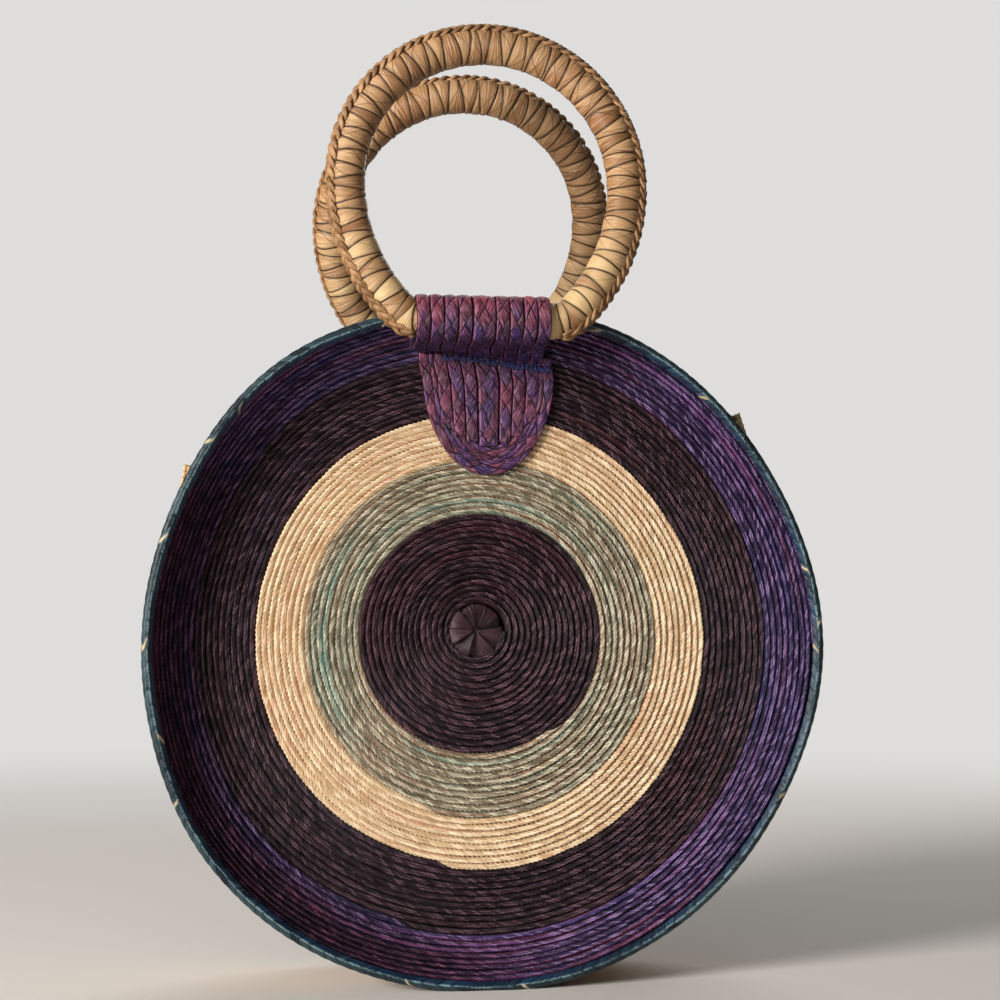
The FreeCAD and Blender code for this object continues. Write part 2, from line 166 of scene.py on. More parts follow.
class Wire:
    __add__, __radd__ = operator("ADD"), operator("ADD", True)
    __sub__, __rsub__ = operator("SUBTRACT"), operator("SUBTRACT", True)
    __mul__, __rmul__ = operator("MULTIPLY"), operator("MULTIPLY", True)
    __pow__, __gt__, __lt__ = operator("POWER"), operator("GREATER_THAN"), operator("LESS_THAN")

    def __init__(self, tree, socket=None):
        self.tree, self.socket = tree, socket

    def node(self, kind, sockets=(), out=0, **settings):
        # a new node with these settings, its sockets linked to wires or set to values
        made = self.tree.nodes.new("ShaderNode" + kind)
        for key, value in settings.items():
            setattr(made, key, value)
        for key, value in dict(sockets).items():
            if isinstance(value, Wire):
                self.tree.links.new(value.socket, made.inputs[key])
            else:
                made.inputs[key].default_value = value
        return Wire(self.tree, made.outputs[out] if made.outputs else None)

    def calc(self, operation, *values):
        # a Math node on these values
        return self.node("Math", dict(enumerate(values)), operation=operation)

    def __abs__(self):
        return self.calc("ABSOLUTE", self)

    def floor(self):
        # the whole number below
        return self.calc("FLOOR", self)

    def part(self):
        # what is left over that whole number
        return self.calc("FRACT", self)

    def wave(self):
        # a sine with one turn from one whole number to the next
        return self.calc("SINE", self * tau)

    def ramp(self, low, high):
        # 0 below low, 1 above high, smooth between
        return self.node("MapRange", {0: self, 1: low, 2: high}, interpolation_type="SMOOTHSTEP", clamp=True)

    def mix(self, a, b):
        # colour a where this is 0, b where it is 1
        return self.node("Mix", {0: self, 6: a, 7: b}, out=2, data_type="RGBA", clamp_factor=True)

    def times(self, colour, share=1.0):
        # this colour multiplied by another, by a share from 0 to 1
        sockets = {0: share, 6: self, 7: colour}
        return self.node("Mix", sockets, out=2, data_type="RGBA", blend_type="MULTIPLY")


def tint(red, green, blue):
    # a colour as a paint chart gives it, 0 to 255, made linear
    share = np.array([red, green, blue]) / 255
    linear = np.where(share <= 0.04045, share / 12.92, ((share + 0.055) / 1.055) ** 2.4)
    return (*linear.tolist(), 1.0)


def shaded(colour, share):
    # a colour's red, green and blue times a share
    return (*(share * c for c in colour[:3]), 1.0)


def finishOf(name, paint, gloss=0.3):
    # paint(start) gives colour, roughness, height and the depth of its relief
    made = bpy.data.materials.new(name)
    made.use_nodes = True
    tree = made.node_tree
    tree.nodes.clear()
    start = Wire(tree)
    colour, rough, height, depth = paint(start)
    bump = start.node("Bump", {"Strength": 1.0, "Distance": depth, "Height": height})
    shader = start.node("BsdfPrincipled", {"Base Color": colour, "Roughness": rough, "Normal": bump,
                                          "Specular IOR Level": gloss})
    start.node("OutputMaterial", {"Surface": shader})
    return made


def leafCoordinates(start):
    # the two weave coordinates of a piece: on most, strands counted along the plait and the place across it
    uv = start.node("UVMap", uv_map="weave")
    along = start.node("SeparateXYZ", {0: uv}, out=0)
    across = start.node("SeparateXYZ", {0: uv}, out=1)
    return along, across


def spot(start, axis):
    # X, Y or Z of a point in the bag's rest pose, in metres
    return start.node("SeparateXYZ", {0: start.node("TexCoord", out=3)}, out=axis)


def chance(start, value, seed=0.0):
    # a number from 0 to 1 drawn for each value
    return start.node("TexWhiteNoise", {"W": value + seed}, out=0, noise_dimensions="1D")


def cloud(start, along, across, stretchAlong, stretchAcross, detail=2.0):
    # noise on the plait's own coordinates, drawn out along the strands
    place = start.node("CombineXYZ", {0: along * stretchAlong, 1: across * stretchAcross})
    sockets = {"Vector": place, "Scale": 1.0, "Detail": detail}
    return start.node("TexNoise", sockets, out=0, noise_dimensions="2D")


def patches(start, scale, detail=2.0):
    # noise in space, with about this many lumps to a metre
    place = start.node("TexCoord", out=3)
    return start.node("TexNoise", {"Vector": place, "Scale": scale, "Detail": detail}, out=0)


def edged(place, width):
    # 0 at both edges of a strand, 1 within
    return place.ramp(0.0, width) * (1 - place.ramp(1 - width, 1.0))


# The dished panel, as the CAD has it

dish = {
    "rim": 177.1, "depth": 92.0, "hollow": 24.0, "wallAngle": 48.0, "bend": 46.0, "thick": 3.0,
    "binding": 1.6, "foot": 1.2, "rosette": 12.5, "rows": 52,
    "lowest": 0.02,   # no part of a panel lies lower than this
    "drift": (-5.0, 7.3),   # from the rim's middle to the winding's middle, along X and Z
    "bulge": (   # how far the rim lies off its circle: degrees, mm
        (0, 0.0), (8, 0.0), (22, -2.4), (38, -2.6), (50, -1.2), (58, 0.0), (100, 0.0), (108, 0.8),
        (118, 3.0), (127, 5.0), (136, 3.6), (148, 1.2), (160, -0.4), (174, 0.4), (195, 0.4), (206, 2.6),
        (217, 3.6), (229, 3.0), (242, 1.9), (256, 0.7), (266, 0.0), (284, 0.0), (300, -1.0), (326, -2.3),
        (336, -2.3), (346, -1.0), (352, 0.0), (360, 0.0)),
    "soften": (-8, -4, 0, 4, 8),   # degrees over which the bulge is evened out
}
halfThick = dish["thick"] / 2
nose = halfThick + dish["binding"]
slope = math.radians(dish["wallAngle"])
frontY = -dish["depth"] / 2
middleZ = dish["rim"] - dish["foot"]
floorY = frontY + dish["hollow"] + halfThick
edgeRadius = dish["rim"] - nose
wallRise = dish["hollow"] + halfThick - nose - dish["bend"] * (1 - math.cos(slope))
wallLength = wallRise / math.sin(slope)
floorRadius = edgeRadius - dish["bend"] * math.sin(slope) - wallLength * math.cos(slope)
bendEnd = floorRadius + dish["bend"] * slope
edgeLength = bendEnd + wallLength
rowPitch = (edgeLength - dish["rosette"]) / dish["rows"]
upright, centred = np.array(math.pi / 2), (0, 0)   # theta straight up, and no drift


def bulge(theta):
    # how far the rim lies off its circle, the mean of a few places near by
    degrees, size = np.array(dish["bulge"]).T
    near = dish["soften"]
    return sum(np.interp((np.degrees(theta) + k) % 360, degrees, size) for k in near) / len(near)


def onPanel(s, proud, theta, side, drift=dish["drift"]):
    # s along the panel's section from its middle, proud of its middle line, theta from +X towards +Z
    turn = np.clip((s - floorRadius) / dish["bend"], 0, slope)
    past = np.maximum(s - bendEnd, 0)
    r = np.minimum(s, floorRadius) + (dish["bend"] - proud) * np.sin(turn) + past * math.cos(slope)
    y = floorY - dish["bend"] + (dish["bend"] - proud) * np.cos(turn) - past * math.sin(slope)
    r = r + bulge(theta) * (s / edgeLength) ** 3
    off = np.clip(1 - s / edgeLength, 0, 1)
    x = r * np.cos(theta) + drift[0] * off
    z = middleZ + r * np.sin(theta) + drift[1] * off
    return np.stack(np.broadcast_arrays(x, y * side, np.maximum(z, dish["lowest"])), -1)


# Coils: one plait wound outward; every coil is a length of that spiral in its own colour

coil = {
    "strand": 2.5,    # strand to strand along the plait
    "slant": 5.2,     # how far a strand runs along the plait while it crosses it
    "splice": 9.0,    # length over which one dye gives way to the next
    "sliver": 0.06,   # share of the row's width that is left at a coil's tip
    "samples": 2,     # grid lines to a strand
    "across": (-0.16, 0.04, 0.24, 0.48, 0.72, 0.90, 1.00, 0.97, 0.45, -0.10),
    "proud": (0.0, 0.55, 0.95, 1.32, 1.62, 1.62, 0.75, -1.15, -1.45, -1.15),
    "ripple": (0.0, 0.6, 0.9, 1.0, 1.0, 1.0, 0.5, 0.3, 0.6, 0.2),
    "scallop": (0.0, 0.0, 0.0, 0.0, 0.06, 0.22, 0.30, 0.30, 0.0, 0.0),   # strands' bulge at the row's edge
    "topPoints": 7,   # so many points of the section are on its upper side
    "behind": (1.4, 1.7, 2.0, 2.3),   # weave coordinate round its underside
    "depth": 0.34, "uneven": 0.09,   # relief of a strand, and how much strands differ in height
    "waver": ((70.0, 0.18), (19.0, 0.10)), "swell": (45.0, 0.07),   # waves aside and upward: length, size
    "ends": {"plum": (0.0, 15.13), "mint": (15.13, 24.29), "natural": (24.29, 32.27),
             "black": (32.27, 42.29), "purple": (42.29, 51.0)},   # turns of the spiral
    "seed": 11,
}


def lengthAt(turn):
    # length of the spiral up to a turn: the sum of rings that grow by one pitch a turn
    return tau * (dish["rosette"] * turn + rowPitch * (turn ** 2 + turn) / 2)


def turnAt(length):
    # the turn at which the spiral has this length, the root of the formula above
    b = dish["rosette"] + rowPitch / 2
    return (np.sqrt(b * b + 2 * rowPitch * np.maximum(length, 0) / tau) - b) / rowPitch


def coilPiece(colour, where, seed):
    # a shingled section (across, proud) carried along the spiral; grid lines follow the strands, and each
    # strand is a low pillow between two valleys; a coil starts as a sliver at the row's outer edge and ends
    # as one at its inner edge
    rng = np.random.default_rng(seed)
    first, last = (lengthAt(t) for t in coil["ends"][colour])
    end = last + (coil["splice"] if colour != "purple" else 0)
    strands = round((end - first) / coil["strand"])
    number = np.arange(strands * coil["samples"] + 1)
    along = np.linspace(first, end, len(number))
    across, proud, weight, scallop = (np.array(coil[k]) for k in ("across", "proud", "ripple", "scallop"))
    length = along[:, None] - coil["slant"] * (np.clip(across, 0, 1) - 0.5)
    length = np.clip(length, first, end)
    begun = np.clip((length - first) / coil["splice"], coil["sliver"], 1) if colour != "plum" else 1.0
    left = np.clip((end - length) / coil["splice"], coil["sliver"], 1) if colour != "purple" else 1.0
    place = (1 - (1 - across) * begun) * left
    turn = turnAt(length)
    waver = sum(wander(rng, along, *wave) for wave in coil["waver"])
    pillow = np.where(number % coil["samples"] == 0, -1.0, 0.5)
    s = dish["rosette"] + rowPitch * (turn + place) + waver[:, None] + scallop * pillow[:, None]
    lift = np.repeat(rng.normal(0, coil["uneven"], strands + 1), coil["samples"])[: len(number)]
    relief = coil["depth"] * pillow + lift + wander(rng, along, *coil["swell"])
    points = onPanel(s, proud + weight * relief[:, None], -tau * turn, sides[where])
    acrossUv = np.append(across[: coil["topPoints"]], coil["behind"])
    uv = plainUv(number / coil["samples"] + round(first), acrossUv)
    skin = Skin().add(points, uv)
    skin.build(f"{where}_{colour}_coil", "plait", "bag", "palm_" + colour, finishes[colour])


leftDyeAndShade = {   # where the left side's wine dye and painted shade begin and end, in metres
    "outer": (0.150, 0.165), "left": (-0.03, 0.05), "top": (0.24, 0.30), "foot": (0.08, 0.17),
    "innerShare": 0.75,
}


def lowLeft(start):
    # the left side's share of wine dye with painted shade: 1 on outer rows, less on inner rows towards the
    # foot
    x, z = spot(start, 0), spot(start, 2)
    high = z - middleZ * mm
    outer = ((x * x + high * high) ** 0.5).ramp(*leftDyeAndShade["outer"])
    left = (1 - x.ramp(*leftDyeAndShade["left"])) * (1 - z.ramp(*leftDyeAndShade["top"]))
    return left * (outer + (1 - outer) * leftDyeAndShade["innerShare"] * z.ramp(*leftDyeAndShade["foot"]))


# groove: how dark the painted shade in a row's grooves is; gleam: how strong its painted highlights are
palm = {"groove": 0.22, "gleam": 0.3, "dots": 0.0, "gloss": 0.3, "leftDyeAndShade": None}   # where a dye says no other
dyes = {   # dark and main leaf, and a light leaf painted as highlights; streaks of another dye as colour, waves to a strand, amount, seed
    "plum": {
        "leaf": (tint(17, 9, 13), tint(35, 19, 26), tint(118, 85, 98)), "gloss": 0.18,
        "streaks": ((tint(56, 25, 32), 0.02, 0.09, 3.0), (tint(92, 70, 52), 0.20, -0.09, 8.0)),
    },
    "mint": {
        "leaf": (tint(102, 90, 68), tint(155, 142, 117), tint(222, 214, 188)),
        "streaks": ((tint(110, 144, 130), 0.010, 0.05, 1.0), (tint(160, 118, 92), 0.012, 0.08, 5.0),
                    (tint(92, 92, 72), 0.02, 0.0, 8.0)),
        "groove": 0.20, "gleam": 0.8, "dots": 0.16,
    },
    "natural": {
        "leaf": (tint(198, 160, 118), tint(234, 198, 156), tint(255, 236, 202)),
        "streaks": ((tint(220, 166, 126), 0.02, 0.06, 2.0), (tint(236, 204, 158), 0.03, 0.05, 6.0)),
        "groove": 0.30, "gleam": 0.9, "dots": 0.18,
    },
    "black": {
        "leaf": (tint(17, 9, 13), tint(33, 19, 25), tint(116, 85, 96)), "gloss": 0.18,
        "streaks": ((tint(56, 27, 30), 0.018, 0.05, 4.0), (tint(36, 28, 44), 0.02, 0.04, 7.0)),
    },
    "purple": {
        "leaf": (tint(24, 17, 38), tint(50, 36, 74), tint(158, 130, 178)), "gloss": 0.18,
        "streaks": ((tint(116, 66, 122), 0.010, 0.06, 2.5), (tint(28, 32, 74), 0.012, 0.08, 9.0),
                    (tint(90, 38, 58), 0.016, 0.03, 6.0)),
        # wine dye and painted shade of the left inner wall, multiplied in
        "leftDyeAndShade": (0.72, 0.38, 0.34, 1.0),
    },
    "side": {
        "leaf": (tint(178, 142, 100), tint(208, 172, 128), tint(232, 200, 156)),
        "streaks": ((tint(190, 140, 98), 0.02, 0.05, 12.0), (tint(214, 186, 140), 0.03, 0.05, 16.0)),
        "groove": 0.45, "gleam": 1.0,
    },
}


def palmFinish(name):
    # dyed palm: fibres along each strand, long streaks of other dye along the row, a painted highlight on
    # each strand's crest, broken lines and dashes of painted highlight along the row, wine dye and painted
    # shade on the left, and painted shade where the row tucks under its neighbour, in holes between strands
    # and beneath
    look = {**palm, **dyes[name]}
    dark, main, light = look["leaf"]

    def paint(start):
        along, across = leafCoordinates(start)
        strand, inside = along.floor(), along.part()
        tone = chance(start, strand)
        fibre = cloud(start, along, across, 6.0, 1.5, 3.0)
        row = cloud(start, along * 0.045, across, 1.0, 2.6, 2.0)
        line = cloud(start, along * 0.34, across, 1.0, 5.0, 3.0)
        colour = (tone * 0.5 + (row - 0.5) * 2.2 + 0.25).mix(dark, main)
        for number, (dye, wave, amount, seed) in enumerate(look["streaks"]):
            run = cloud(start, along * wave + seed, across, 1.0, 1.1, 1.5)
            patch = patches(start, 9.0 + 4 * number, 1.0)
            mask = (run * 0.75 + patch * 0.35 + (tone - 0.5) * 0.07).ramp(0.65 - amount, 0.77 - amount)
            colour = (mask * 0.85).mix(colour, dye)
        # painted highlight on each strand's crest, in the light leaf
        crest = across.ramp(0.24, 0.50) * (1 - across.ramp(0.84, 0.98)) * (0.35 + 0.65 * edged(inside, 0.30))
        pale = line * 3.4 + fibre * 1.8 + row * 1.2 + tone * 0.6 - 3.15
        colour = (crest * pale * look["gleam"]).mix(colour, light)
        colour = ((0.93 - fibre - line) * 2.2).mix(colour, shaded(dark, 0.45))
        # painted highlight lines, broken, along the row
        waver = cloud(start, along * 0.22, strand * 0.002, 1.0, 1.0, 3.0)
        thread = 1 - abs(abs(across - 0.30 - waver * 0.45) - 0.20).ramp(0.03, 0.12)
        colour = (thread * (line * 3.0 + row * 1.4 + tone - 2.65)).mix(colour, light)
        # painted highlight dashes along each strand's crest
        strandHighlight = edged(inside, 0.46) * across.ramp(0.12, 0.36) * (1 - across.ramp(0.78, 0.98))
        colour = (strandHighlight * (tone * 1.9 + line * 2.2 + row - 2.75) * 0.5).mix(colour, light)
        # the left side's wine dye and painted shade, multiplied in
        if look["leftDyeAndShade"]:
            colour = colour.times(look["leftDyeAndShade"], lowLeft(start))
        # painted shade where the row tucks under its neighbour, in the holes and at the edges between
        # strands, and underneath
        tucked = (across + look["dots"] * edged(inside, 0.45)).ramp(-0.10, 0.14)
        hole = (1 - edged(inside, 0.20)) * (1 - across.ramp(0.22, 0.50) + across.ramp(0.80, 0.98))
        shade = tucked.calc("MAXIMUM", tucked, across > 1.2) * (1 - 0.85 * hole)
        shade = shade * (0.62 + 0.38 * edged(inside, 0.15))
        deep = colour.times((look["groove"], look["groove"], look["groove"], 1.0))
        return shade.ramp(0.0, 0.9).mix(deep, colour), 0.5 + (fibre - 0.5) * 0.3, fibre, 0.0004

    return finishOf("palm " + name, paint, look["gloss"])


finishes = {name: palmFinish(name) for name in dyes}
for half, where in enumerate(sides):
    for number, colour in enumerate(coil["ends"]):
        coilPiece(colour, where, coil["seed"] + number + 20 * half)
print("coils:", len(coil["ends"]), "lengths of the spiral on each panel")


# Rosette: seven folded leaves laid like a pinwheel over a small round pad

rosette = {
    "start": 1.3, "reach": 14.4, "steps": 12, "leaves": 7, "twist": 0.15,
    "low": 0.6, "high": 2.7, "thick": 0.35,
    "full": 8.0,   # a leaf has its whole height from here on
    "dip": (9.5, 4.5), "dipShare": 0.75,   # where it begins to dip, over which length, and how far
    "aside": 0.36, "wider": 0.22, "higher": (-0.1, 0.15),   # how much leaves differ
    "pad": ((0.03, 0.7), (6, 0.8), (12, 0.7), (13.6, 0.0), (12, -1.2), (6, -1.35), (0.03, -1.4)),
    "padSteps": 40,
    "share": (0.0, 0.15, 0.35, 0.55, 0.75, 0.92, 1.0, 1.0, 0.5, 0.0),   # across a leaf and back under it
    "topPoints": 7, "behind": (1.2, 1.5, 1.8, 2.0),
    "uvLength": 14.0, "uvWidth": 0.45, "padNumber": 40,
    # gap: colour of the painted shade along each leaf's tucked edge
    "leaf": (tint(38, 18, 24), tint(60, 36, 42)), "fibre": tint(110, 86, 94), "gap": tint(8, 4, 6),
    "seed": 101,
}


def rosettePiece(where):
    # every leaf rises from its tucked edge to its free edge, turns as it runs outward and dips under row one
    rng = dice(rosette["seed"], where)
    skin = Skin()
    pad = np.array(rosette["pad"])
    around = np.linspace(0, tau, rosette["padSteps"] + 1)
    padUv = plainUv(pad[:, 0] / rosette["uvLength"], around / tau + rosette["padNumber"])
    skin.add(onPanel(pad[:, :1], pad[:, 1:], around[None, :-1], sides[where]), padUv)
    share = np.array(rosette["share"])
    acrossUv = np.append(share[: rosette["topPoints"]], rosette["behind"]) * rosette["uvWidth"]
    under = np.where(np.arange(len(share)) >= rosette["topPoints"], rosette["thick"], 0.0)
    out = np.linspace(rosette["start"], rosette["reach"], rosette["steps"])[:, None]
    dip = np.clip((out - rosette["dip"][0]) / rosette["dip"][1], 0, 1) ** 2
    rise = (rosette["high"] - rosette["low"]) * share ** 1.5 * (0.5 + 0.5 * out / rosette["full"]).clip(0, 1)
    leaf = tau / rosette["leaves"]
    for number in range(rosette["leaves"]):
        start = (number + rng.uniform(-rosette["aside"], rosette["aside"])) * leaf
        width = leaf * (1 + rng.uniform(-rosette["wider"], rosette["wider"]))
        theta = start + width * share + rosette["twist"] * out / rosette["reach"]
        high = rosette["low"] + rise + rng.uniform(*rosette["higher"])
        high = high * (1 - rosette["dipShare"] * dip) - under
        uv = plainUv(out[:, 0] / rosette["uvLength"], acrossUv + number)
        skin.add(onPanel(out, high, theta, sides[where]), uv)
    skin.build(f"{where}_centre_rosette", "leaves", "bag", "palm_plum", finishes["rosette"])


def rosettePaint(start):
    # each leaf its own shade of plum with paler fibres, and painted shade along its tucked edge
    along, across = leafCoordinates(start)
    leaf, inside = across.floor(), across.part()
    fibre = cloud(start, across * 30, along, 1.0, 2.5, 3.0)
    colour = chance(start, leaf).mix(*rosette["leaf"])
    colour = ((fibre - 0.56) * 2.2).mix(colour, rosette["fibre"])
    # painted shade in the gap along each leaf's tucked edge
    return inside.ramp(0.02, 0.16).mix(rosette["gap"], colour), 0.5 + (fibre - 0.5) * 0.2, fibre, 0.0003


# Rim binding: a flat plait folded over the panel's edge

binding = {
    "lead": -0.4, "front": 1.8, "back": 9.5,   # the front leg's tucked edge and both legs' lengths
    "leaves": 160, "steps": 1920, "cross": 1.0, "fold": 3.6, "depth": 0.35, "slim": 0.85, "out": 0.8,
    "girth": tau * 177, "waver": (1112.0 / 9, 0.12),
    # the side towards the panel, as lengths from the panel's edge and places proud of its middle line
    "lining": ((-9.2, -1.58), (0.2, -1.2), (0.2, 1.2), (-1.5, 1.58)),
    "blue": (tint(8, 24, 44), tint(24, 52, 78)), "green": (tint(16, 26, 32), tint(46, 66, 72)),
    # crest: colour of the painted highlight along the fold; gap, below: colour of the painted shade between
    # leaves
    "fibre": tint(62, 88, 98), "crest": tint(124, 150, 152), "undyed": tint(190, 168, 130),
    "stain": tint(14, 28, 44), "gap": tint(5, 9, 14),
    "seed": 111,
}
bindingLeaf = tau * dish["rim"] / binding["leaves"]


def bindingPiece(where):
    # a hairpin section carried round the rim; leaves lie slanted on both sides of the fold line, each a low
    # pillow, and both edges of the plait are tucked in
    rng = dice(binding["seed"], where)
    front = binding["front"]
    around = np.linspace(0, 1, binding["steps"] + 1)
    lead = np.linspace(binding["lead"], front, 7)
    bend = np.linspace(0, math.pi, 9)[1:-1]
    tail = np.linspace(0, binding["back"], 6)
    face = np.concatenate([lead * 0, bend, tail * 0 + math.pi])
    base = np.concatenate([lead - front, bend * 0, -tail]) + edgeLength + binding["out"]
    run = np.concatenate([lead, front + nose * bend, front + nose * math.pi + tail])
    tuck = np.zeros(len(run))
    tuck[[0, -1]] = 1.0
    along = around[:, None] * binding["leaves"]
    phase = along + binding["cross"] * abs(run - binding["fold"]) / bindingLeaf
    lift = np.sqrt(np.sin(np.pi * (phase % 1))) * binding["depth"] * (1 - tuck)
    lift = lift + wander(rng, around * binding["girth"], *binding["waver"])[:, None]
    reach = nose - binding["slim"] + lift - tuck
    s, proud = base + reach * np.sin(face), reach * np.cos(face)
    lining = np.array(binding["lining"]) + (edgeLength, 0.0)
    s = np.concatenate([s, np.broadcast_to(lining[:, 0], (len(s), len(lining)))], 1)
    proud = np.concatenate([proud, np.broadcast_to(lining[:, 1], (len(proud), len(lining)))], 1)
    points = onPanel(s, proud, -tau * around[:, None], sides[where])
    uv = plainUv(along[:, 0], np.append(run / bindingLeaf, np.full(len(lining) + 1, 2.0)))
    skin = Skin().add(points[:-1], uv, wrapU=True)
    skin.build(f"{where}_rim_binding", "plait", "bag", "palm_teal", finishes["teal"])


def bindingPaint(start):
    # blue leaf on the front of the fold line, green-black behind it, a painted highlight along it, a few
    # undyed bits, and painted shade between leaves
    along, across = leafCoordinates(start)
    over = across - binding["fold"] / bindingLeaf
    phase = along + abs(over) * binding["cross"] + (cloud(start, along * 0.3, over, 1.0, 0.6) - 0.5) * 1.6
    number, inside = phase.floor() + (over > 0.0) * 500, phase.part()
    tone, other = chance(start, number), chance(start, number, 0.37)
    fibre = cloud(start, inside + number * 3, across, 5.0, 2.0, 3.0)
    colour = (over > 0.0).mix(tone.mix(*binding["blue"]), tone.mix(*binding["green"]))
    colour = ((fibre - 0.52) * 2.4 + (other - 0.75)).mix(colour, binding["fibre"])
    # painted highlight along the fold's crest
    crest = 1 - abs(over).ramp(0.02, 0.14)
    colour = (crest * (fibre * 2.4 + tone - 1.2)).mix(colour, binding["crest"])
    pale = (other > 0.94) * inside.ramp(0.30, 0.36) * (1 - inside.ramp(0.58, 0.64))
    colour = (pale * (1 - abs(over).ramp(0.5, 0.7)) * 0.8).mix(colour, binding["undyed"])
    colour = ((patches(start, 22.0) - 0.5) * 3.4).mix(colour, binding["stain"])
    # painted shade between leaves
    shade = 0.2 + 0.8 * edged(inside, 0.11)
    return shade.mix(binding["gap"], colour), 0.42 + (fibre - 0.5) * 0.3, fibre, 0.0003


finishes["rosette"] = finishOf("palm rosette", rosettePaint)
finishes["teal"] = finishOf("palm teal", bindingPaint)
for where in sides:
    rosettePiece(where)
    bindingPiece(where)
print("rosettes and bindings:", rosette["leaves"], "and", binding["leaves"], "leaves each")


# Plaits of the tab: a low domed section with slanted strands, carried along a line

plait = {
    "across": (-0.5, -0.46, -0.34, -0.17, 0.0, 0.17, 0.34, 0.46, 0.5, 0.4, 0.0, -0.4),
    "high": (0.3, 0.84, 0.94, 0.99, 1.0, 0.99, 0.94, 0.84, 0.3, 0.0, 0.0, 0.0),
    "weight": (0.2, 0.7, 1.0, 1.0, 1.0, 1.0, 1.0, 0.7, 0.2, 0.0, 0.0, 0.0),
    "strand": 12.5, "steep": 1.65, "depth": 0.7, "level": 0.6, "first": 20,
    "drift": (37.0, 0.12), "swell": (25.0, 0.12),   # waves of the strand count and of the height
    "gap": 0.1, "step": 1.1,   # between two plaits, and between two grid lines along one
}


def plaitGrid(along, width, thick, rng):
    # places across a plait, heights over its underside, weave coordinates and the place across from 0 to 1:
    # two families of strands cross, and the one on top is lifted
    across, weight = np.array(plait["across"]), np.array(plait["weight"])
    aside = plait["steep"] * across * width / plait["strand"]
    count = (along / plait["strand"] + plait["first"] + wander(rng, along, *plait["drift"]))[:, None]
    lift = lozenge(count + aside, count - aside) - plait["level"]
    high = thick * np.array(plait["high"]) + plait["depth"] * lift * weight
    high = high + wander(rng, along, *plait["swell"])[:, None] * weight
    uv = np.stack([count + aside, count - aside], -1)
    return across * width, high, np.concatenate([uv, uv[:, :1]], 1), 0.01 + 0.98 * (across + 0.5)


def shuffled(along, rng):
    # lengths along a plait that start anywhere within two strands
    return along + rng.uniform(0, 2 * plait["strand"])


handle = {   # a ring of arcs on a straight bar; the tab folds round the bar
    "bar": 34.5, "radius": 71.8, "height": 69.3, "corner": 13.0, "wrap": 9.2, "core": 6.2,
    "barY": frontY - 12.5, "barZ": middleZ + dish["rim"] - 11.1, "lean": {"front": 1.0, "rear": 21.0},
    "slid": {"front": -4.0, "rear": -5.0},   # along the bar, out of the middle of its sleeve
}
bar = np.array([handle["barY"], handle["barZ"]])
tab = {
    "columns": (-34.4, -27.3, -20.2, -13.1, -6.0, 6.0, 13.1, 20.2, 27.3, 34.4),   # edges of the nine plaits
    "wall": 2.3, "seat": 0.4, "barRadius": 10.05, "neckInset": 26.0, "neckHalf": 2.4, "hug": 20.0,
    "neckAside": (-0.1, 0.48),   # where the sleeve's line begins and ends, across the neck
    "side": 20.6, "round": 41.0, "half": 35.6, "low": 1.75, "thick": 2.5,
    "nested": (5.4, 2.4, 2.4, 2.2, 2.2),   # widths of the U's from the outside in
    "below": 0.3, "stripTop": 4.0, "borderTop": 3.5,   # from the neck to the tongue, and plaits past it
    "innerFrom": 2, "innerTurn": (1.06, 1.94), "innerHigh": 0.8,   # first short U, its half turns and height
    "borderStretch": 0.8, "borderWider": 0.3,
    "lean": (-0.9, 2.5),   # the tongue's top lies left of the middle, its end right of that
    "shift": (-4.0, -7.0),   # the roll sits this far to the left, at its neck and over the bar
    "slope": (0.11, -10.0),   # fall of the roll's lower edge to the right, and where it keeps its height
    "taper": (0.12, 0.8),   # how much the tongue narrows, and over which share of its length
    "waver": (40.0, 0.25),
    "stripMark": 20, "borderMark": 40,   # numbers of the first strip and border; the sleeve's start at 0
    "seeds": {"sleeve": 121, "strips": 131, "border": 141},
}


def neckPlace():
    # where the strap's two layers meet the panel: middle point, direction to the bar and across the layers
    foot = onPanel(np.array(edgeLength - tab["neckInset"]), halfThick, upright, 1, centred)[1:]
    along = (bar - foot) / np.linalg.norm(bar - foot)
    return foot, along, np.array([along[1], -along[0]])


def sleeveLine():
    # up the front of the bar from the neck, over it and down its back to the neck, as points (y, z): a line
    # that touches a circle round the bar, the circle's arc and a line back
    foot, along, aside = neckPlace()
    low, high = (foot - along * tab["neckHalf"] + aside * place for place in tab["neckAside"])
    reach = tab["barRadius"]

    def angleTo(point):
        # where a point lies round the bar, from the bar's front upward
        return math.atan2(point[1] - bar[1], bar[0] - point[0])

    first = angleTo(low) + math.acos(reach / np.linalg.norm(low - bar))
    last = angleTo(high) + tau - math.radians(tab["hug"])
    angle = np.linspace(first, last, 60)
    arc = bar + reach * np.stack([-np.cos(angle), np.sin(angle)], -1)
    line = np.concatenate([np.linspace(low, arc[0], 30)[:-1], arc, np.linspace(arc[-1], high, 30)[1:]])
    return evened(line, plait["step"])


neckFoot, neckAlong, neckAcross = neckPlace()
neckZ = (neckFoot - (neckAlong + neckAcross) * tab["neckHalf"])[1]
tongueTop = neckZ - middleZ - tab["below"]
tongueStraight = tongueTop - tab["side"]


def onTongue(x, height, proud, side):
    # a point over the panel's upper half, by its place across and its height over the panel's middle; the
    # tongue narrows on a smooth curve and leans aside below its top
    down = np.clip((tongueTop - height) / (tab["side"] + tab["round"]), 0, 1)
    narrow = np.clip(down / tab["taper"][1], 0, 1)
    x = x * (1 - tab["taper"][0] * narrow ** 2 * (3 - 2 * narrow))
    x = x + tab["lean"][0] + tab["lean"][1] * np.clip(5 * down, 0, 1)
    return onPanel(np.hypot(x, height), proud, np.arctan2(height, x), side, centred)


def panelFace(x, z):
    # Y of the front panel under a point, just below the crests of its rows
    s = np.linspace(edgeLength / 2, edgeLength, 90)
    face = onPanel(s, tab["seat"], upright, 1, centred)
    return np.interp(np.hypot(x, z - middleZ), face[:, 2] - middleZ, face[:, 1])


